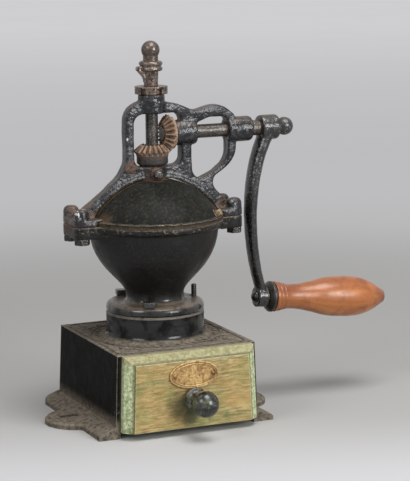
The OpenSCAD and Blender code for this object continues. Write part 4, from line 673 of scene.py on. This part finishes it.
def smoothNode(name):
    mesh = nodes[name].data
    if "custom_normal" in mesh.attributes:
        mesh.attributes.remove(mesh.attributes["custom_normal"])
    softEdges(nodes[name], edgeAngles.get(name, 30))


def dress(material, names):
    for name in names:
        slots = nodes[name].data.materials
        slots.clear()
        slots.append(material)


for name in nodes:
    smoothNode(name)
metals = {}
for name, (look, pieces) in metalPieces.items():
    metals[name] = metalMaterial(name, look)
    dress(metals[name], pieces)
dress(drawerMaterial(drawerLook), ["drawer_front"])
dress(boardMaterial("boardLong", True, boardLook), ["drawer_left_side", "drawer_right_side", "drawer_bottom"])
dress(boardMaterial("boardBack", False, boardLook), ["drawer_back"])
dress(gripMaterial(gripLook), ["grip"])
dress(knobMaterial(knobLook), ["drawer_knob"])
print("materials on the CAD pieces")


def meshPiece(name, bm, material, body):
    mesh = bpy.data.meshes.new(name)
    bmesh.ops.recalc_face_normals(bm, faces=bm.faces)
    bm.to_mesh(mesh)
    bm.free()
    mesh.materials.append(material)
    piece = bpy.data.objects.new(name, mesh)
    bpy.context.scene.collection.objects.link(piece)
    for face in mesh.polygons:
        face.use_smooth = True
    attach(piece, body)
    return piece


# Castings with really rounded edges: a remeshed copy of the solid, smoothed and made a little uneven.
# Sizes are in millimetres; swell is the height of the unevenness and swellSize its length.
castings = {
    "arch_casting": {"node": "arch_frame", "body": "mill", "slot": "black_iron", "voxel": 0.9, "passes": 9,
                     "swell": 0.3, "swellSize": 8.0},
    "hopper_casting": {"node": "hopper", "body": "mill", "slot": "black_iron", "voxel": 0.9, "passes": 4,
                       "swell": 0.2, "swellSize": 9.0},
    "arm_casting": {"node": "crank_arm", "body": "crank", "slot": "arm_iron", "voxel": 0.7, "passes": 6,
                    "swell": 0.22, "swellSize": 8.0},
    "lower_gear": {"node": "arbor_gear", "body": "arbor", "slot": "rusty_iron", "voxel": 0.4, "passes": 3,
                   "swell": 0.12, "swellSize": 3.0},
    "side_gear": {"node": "crank_gear", "body": "crank", "slot": "rusty_iron", "voxel": 0.4, "passes": 3,
                  "swell": 0.12, "swellSize": 3.0},
    "notched_nut": {"node": "adjusting_nut", "body": "adjuster", "slot": "dull_steel", "voxel": 0.4, "passes": 4,
                    "swell": 0.15, "swellSize": 4.0},
    "square_bolts": {"node": "flange_bolts", "body": "mill", "slot": "dull_steel", "voxel": 0.4, "passes": 4,
                     "swell": 0.15, "swellSize": 4.0},
    "hexagon_bolts": {"node": "ear_bolts", "body": "mill", "slot": "dull_steel", "voxel": 0.5, "passes": 3,
                      "swell": 0.12, "swellSize": 4.0},
}


def castPiece(name, look):
    source = nodes[look["node"]]
    rough = bpy.data.objects.new(name + "_rough", source.data.copy())
    bpy.context.scene.collection.objects.link(rough)
    remesh = rough.modifiers.new("remesh", "REMESH")
    remesh.mode = "VOXEL"
    remesh.voxel_size = look["voxel"] * millimetre
    soften = rough.modifiers.new("soften", "SMOOTH")
    soften.factor = 0.5
    soften.iterations = look["passes"]
    shaped = rough.evaluated_get(bpy.context.evaluated_depsgraph_get())
    mesh = bpy.data.meshes.new_from_object(shaped)
    bpy.data.objects.remove(rough)
    size = look["swellSize"] * millimetre
    normals = [corner.vector.copy() for corner in mesh.vertex_normals]
    for vertex, normal in zip(mesh.vertices, normals):
        vertex.co += normal * (lattice.noise(vertex.co / size) * look["swell"] * millimetre)
    mesh.materials.clear()
    mesh.materials.append(source.data.materials[0])
    for face in mesh.polygons:
        face.use_smooth = True
    piece = bpy.data.objects.new(name, mesh)
    bpy.context.scene.collection.objects.link(piece)
    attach(piece, look["body"])
    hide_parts(look["node"])
    print("cast", name, len(mesh.polygons), "faces")


for name, look in castings.items():
    castPiece(name, look)
turnGrip(turning)
print("castings and turned grip")


# Raised half-round ridge along a flat path; widths are half widths at each point
def addRidge(bm, path, widths, height, lift, closed=False, sides=6, sink=0.4):
    count = len(path)
    rings = []
    for i, point in enumerate(path):
        before = path[i - 1] if closed or i > 0 else point
        after = path[(i + 1) % count] if closed or i < count - 1 else point
        along = (after - before).normalized()
        across = Vector((-along.y, along.x))
        width = widths[i]
        rise = height * min(1.0, width / max(widths) * 1.4)
        section = [(-width, -sink)]
        section += [(-width * math.cos(math.pi * k / sides), rise * math.sin(math.pi * k / sides))
                    for k in range(sides + 1)]
        section += [(width, -sink)]
        ring = []
        for side, up in section:
            spot = point + across * side
            ring.append(bm.verts.new((spot.x * millimetre, spot.y * millimetre, (lift + up) * millimetre)))
        rings.append(ring)
    size = len(rings[0])
    last = count if closed else count - 1
    for i in range(last):
        a, b = rings[i], rings[(i + 1) % count]
        for k in range(size):
            bm.faces.new((a[k], a[(k + 1) % size], b[(k + 1) % size], b[k]))
    if not closed:
        bm.faces.new(rings[0])
        bm.faces.new(rings[-1])


def leafWidths(count, width):
    return [max(0.12, width * math.sin(math.pi * (i + 0.35) / (count + 0.2)) ** 0.8) for i in range(count)]


# Cast ornament on the box top: border, ring, a row of slanted leaves and a spray in each corner
ornament = {
    "borderInset": 4.6, "borderCorner": 7.0, "borderWidth": 0.8, "height": 0.75,
    "ringRadius": 56.2, "ringWidth": 0.7, "leafRadius": 51.9, "leafCount": 44, "leafLength": 5.0,
    "leafWidth": 0.95, "leafSlant": 24.0, "sprayLeaf": 15.0, "sprayWidth": 2.4, "curlRadius": 4.2,
}


def roundedLoop(halfX, halfY, corner, steps=6):
    points = []
    for centreX, centreY, start in ((1, 1, 0), (-1, 1, 90), (-1, -1, 180), (1, -1, 270)):
        for k in range(steps + 1):
            angle = math.radians(start + 90 * k / steps)
            points.append(Vector((centreX * (halfX - corner) + corner * math.cos(angle),
                                  centreY * (halfY - corner) + corner * math.sin(angle))))
    return points


def spray(look):
    # Paths of one corner spray, seen from its foot and pointing along +X
    paths = []
    for turn, reach, width in ((0, 1.0, 1.0), (34, 0.72, 0.8), (-34, 0.72, 0.8)):
        bend = turn / 60
        length = look["sprayLeaf"] * reach
        path = []
        for i in range(10):
            t = i / 9
            angle = math.radians(turn) + bend * t
            path.append(Vector((length * t * math.cos(angle) + 2.0, length * t * math.sin(angle))))
        paths.append((path, leafWidths(10, look["sprayWidth"] * width)))
    for side in (1, -1):
        path = []
        for i in range(16):
            t = i / 15
            angle = side * math.radians(-90 + 400 * t)
            radius = look["curlRadius"] * (1 - 0.62 * t)
            path.append(Vector((1.0 + radius * math.cos(angle), side * 7.6 + radius * math.sin(angle))))
        paths.append((path, [0.75 - 0.3 * i / 15 for i in range(16)]))
    return paths


def boxOrnament(look):
    low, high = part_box("base_box")
    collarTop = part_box("hopper")[0].z / millimetre
    topZ = collarTop - 22.0
    halfX, halfY = 62.5, 69.5
    bm = bmesh.new()
    loop = roundedLoop(halfX - look["borderInset"], halfY - look["borderInset"], look["borderCorner"])
    addRidge(bm, loop, [look["borderWidth"]] * len(loop), look["height"], topZ, closed=True)
    ring = [Vector((math.cos(a), math.sin(a))) * look["ringRadius"]
            for a in (math.tau * i / 96 for i in range(96))]
    addRidge(bm, ring, [look["ringWidth"]] * len(ring), look["height"], topZ, closed=True)
    for i in range(look["leafCount"]):
        angle = math.tau * i / look["leafCount"]
        centre = Vector((math.cos(angle), math.sin(angle))) * look["leafRadius"]
        slant = angle + math.radians(look["leafSlant"] if i % 2 else -look["leafSlant"])
        step = Vector((math.cos(slant), math.sin(slant)))
        path = [centre + step * look["leafLength"] * (k / 6 - 0.5) for k in range(7)]
        addRidge(bm, path, leafWidths(7, look["leafWidth"]), look["height"], topZ)
    for signX in (1, -1):
        for signY in (1, -1):
            corner = Vector((signX * (halfX - look["borderInset"]), signY * (halfY - look["borderInset"])))
            towards = corner.normalized()
            foot = towards * (look["ringRadius"] + 1.6)
            across = Vector((-towards.y, towards.x))
            for path, widths in spray(look):
                placed = [foot + towards * p.x + across * p.y for p in path]
                addRidge(bm, placed, widths, look["height"], topZ)
    return meshPiece("box_ornament", bm, metals["boxIron"], "mill")


boxOrnament(ornament)
print("ornament on the box top")


# Raised inner border of the oval plate
plateBorder = {"inset": 2.4, "width": 0.45, "height": 0.35, "sink": 0.3, "steps": 96, "sides": 6}


def addPlateBorder(look):
    low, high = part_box("oval_plate")
    centre = (low + high) / 2
    halfWidth = (high.x - low.x) / 2 - look["inset"] * millimetre
    halfHeight = (high.z - low.z) / 2 - look["inset"] * millimetre
    bm = bmesh.new()
    rings = []
    for i in range(look["steps"]):
        angle = math.tau * i / look["steps"]
        out = Vector((math.cos(angle) / halfWidth, 0, math.sin(angle) / halfHeight)).normalized()
        spot = Vector((centre.x + halfWidth * math.cos(angle), low.y, centre.z + halfHeight * math.sin(angle)))
        ring = []
        for k in range(look["sides"] + 1):
            turn = math.pi * k / look["sides"]
            side = -math.cos(turn) * look["width"] * millimetre
            rise = math.sin(turn) * look["height"] * millimetre
            ring.append(bm.verts.new(spot + out * side - Vector((0, rise, 0))))
        for side in (look["width"], -look["width"]):
            ring.append(bm.verts.new(spot + out * side * millimetre + Vector((0, look["sink"] * millimetre, 0))))
        rings.append(ring)
    size = len(rings[0])
    for a, b in zip(rings, rings[1:] + rings[:1]):
        for k in range(size):
            bm.faces.new((a[k], a[(k + 1) % size], b[(k + 1) % size], b[k]))
    meshPiece("plate_border", bm, metals["plateBrass"], "drawer")


addPlateBorder(plateBorder)


# Studio floor and light
stageLook = {
    "radius": 14.0, "front": (196, 196, 198), "behind": (174, 173, 171), "middle": (189, 189, 191),
    "far": (207, 207, 209), "ambient": 0.18,
}
cameraLook = {
    "place": (-0.6142, -1.5210, 0.4321), "azimuth": -23.532, "elevation": 9.709, "roll": -0.791,
    "lens": 144.2, "sensor": 36.0,
}


def addFloor(look):
    bm = bmesh.new()
    bmesh.ops.create_circle(bm, cap_ends=True, segments=96, radius=look["radius"])
    mesh = bpy.data.meshes.new("floor")
    bm.to_mesh(mesh)
    bm.free()
    floor = bpy.data.objects.new("floor", mesh)
    bpy.context.scene.collection.objects.link(floor)
    material = bpy.data.materials.new("floorPaper")
    material.use_nodes = True
    tree = material.node_tree
    tree.nodes.clear()
    place = objectPlace(tree)
    azimuth = math.radians(cameraLook["azimuth"])
    towardsFront = put(tree, "ShaderNodeVectorMath", {0: place, 1: (math.sin(azimuth), -math.cos(azimuth), 0)},
                       operation="DOT_PRODUCT").outputs["Value"]
    # painted light falloff: the floor is painted lighter towards the front and darker behind the mill
    shade = mixColour(tree, fit(tree, towardsFront, 0.0, 0.22, 0.0, 1.0, True), paint(*look["behind"]),
                      paint(*look["front"]))
    distance = put(tree, "ShaderNodeVectorMath", {0: place}, operation="LENGTH").outputs["Value"]
    shade = mixColour(tree, fit(tree, distance, 0.35, 1.4, 0.0, 1.0, True), shade, paint(*look["middle"]))
    shade = mixColour(tree, fit(tree, distance, 1.6, 6.0, 0.0, 1.0, True), shade, paint(*look["far"]))
    grain = noise(tree, place, 3.0, 2.0, 0.5)
    shade = mixColour(tree, fit(tree, grain, 0.3, 0.7, 0.0, 0.05), shade, paint(170, 170, 172))
    diffuse = put(tree, "ShaderNodeBsdfDiffuse", {"Color": shade})
    glow = put(tree, "ShaderNodeEmission", {"Color": shade, "Strength": 1.0})
    rays = put(tree, "ShaderNodeLightPath")
    seen = calc(tree, "MAXIMUM", rays.outputs["Is Camera Ray"], rays.outputs["Is Glossy Ray"])
    seen = calc(tree, "MAXIMUM", seen, rays.outputs["Is Transmission Ray"])
    outside = fit(tree, distance, 0.35, 1.1, 0.0, 1.0, True)
    blend = put(tree, "ShaderNodeMixShader", {0: calc(tree, "MULTIPLY", seen, outside), 1: diffuse.outputs[0],
                2: glow.outputs[0]})
    put(tree, "ShaderNodeOutputMaterial", {"Surface": blend.outputs[0]})
    mesh.materials.append(material)


def addWorld(look):
    world = bpy.data.worlds.new("studio")
    bpy.context.scene.world = world
    world.use_nodes = True
    tree = world.node_tree
    tree.nodes.clear()
    rays = put(tree, "ShaderNodeLightPath")
    seen = calc(tree, "MAXIMUM", rays.outputs["Is Camera Ray"], rays.outputs["Is Glossy Ray"])
    seen = calc(tree, "MAXIMUM", seen, rays.outputs["Is Transmission Ray"])
    plain = put(tree, "ShaderNodeBackground", {"Color": (1, 1, 1, 1), "Strength": look["ambient"]})
    sky = put(tree, "ShaderNodeBackground", {"Color": paint(*look["far"]), "Strength": 1.0})
    blend = put(tree, "ShaderNodeMixShader", {0: seen, 1: plain.outputs[0], 2: sky.outputs[0]})
    put(tree, "ShaderNodeOutputWorld", {"Surface": blend.outputs[0]})


softboxes = {
    "front": {"azimuth": 23.0, "elevation": 17.0, "distance": 1.9, "size": 0.8, "power": 22.0},
    "left": {"azimuth": -66.0, "elevation": 34.0, "distance": 1.9, "size": 0.8, "power": 11.0},
    "top": {"azimuth": 20.0, "elevation": 72.0, "distance": 1.8, "size": 1.0, "power": 26.0},
}
aimHeight = 0.14


def addSoftbox(name, look):
    lamp = bpy.data.lights.new(name, "AREA")
    lamp.shape = "SQUARE"
    lamp.size = look["size"]
    lamp.energy = look["power"]
    holder = bpy.data.objects.new(name, lamp)
    bpy.context.scene.collection.objects.link(holder)
    azimuth, elevation = math.radians(look["azimuth"]), math.radians(look["elevation"])
    away = Vector((math.sin(azimuth) * math.cos(elevation), -math.cos(azimuth) * math.cos(elevation),
                   math.sin(elevation)))
    holder.location = away * look["distance"] + Vector((0, 0, aimHeight))
    holder.rotation_euler = away.to_track_quat("Z", "Y").to_euler()


def addCamera(look):
    azimuth, elevation, roll = (math.radians(look[key]) for key in ("azimuth", "elevation", "roll"))
    right = Vector((math.cos(azimuth), math.sin(azimuth), 0))
    back = Vector((math.sin(azimuth) * math.cos(elevation), -math.cos(azimuth) * math.cos(elevation),
                   math.sin(elevation)))
    up = back.cross(right)
    sideways = right * math.cos(roll) + up * math.sin(roll)
    upward = up * math.cos(roll) - right * math.sin(roll)
    data = bpy.data.cameras.new("photoCamera")
    data.lens = look["lens"]
    data.sensor_width = look["sensor"]
    camera = bpy.data.objects.new("photoCamera", data)
    bpy.context.scene.collection.objects.link(camera)
    turn = Matrix((sideways, upward, back)).transposed().to_4x4()
    camera.matrix_world = Matrix.Translation(look["place"]) @ turn
    bpy.context.scene.camera = camera


addFloor(stageLook)
addWorld(stageLook)
for name, look in softboxes.items():
    addSoftbox(name, look)
addCamera(cameraLook)
bpy.context.scene.view_settings.view_transform = "Standard"
print("floor, light and camera set")
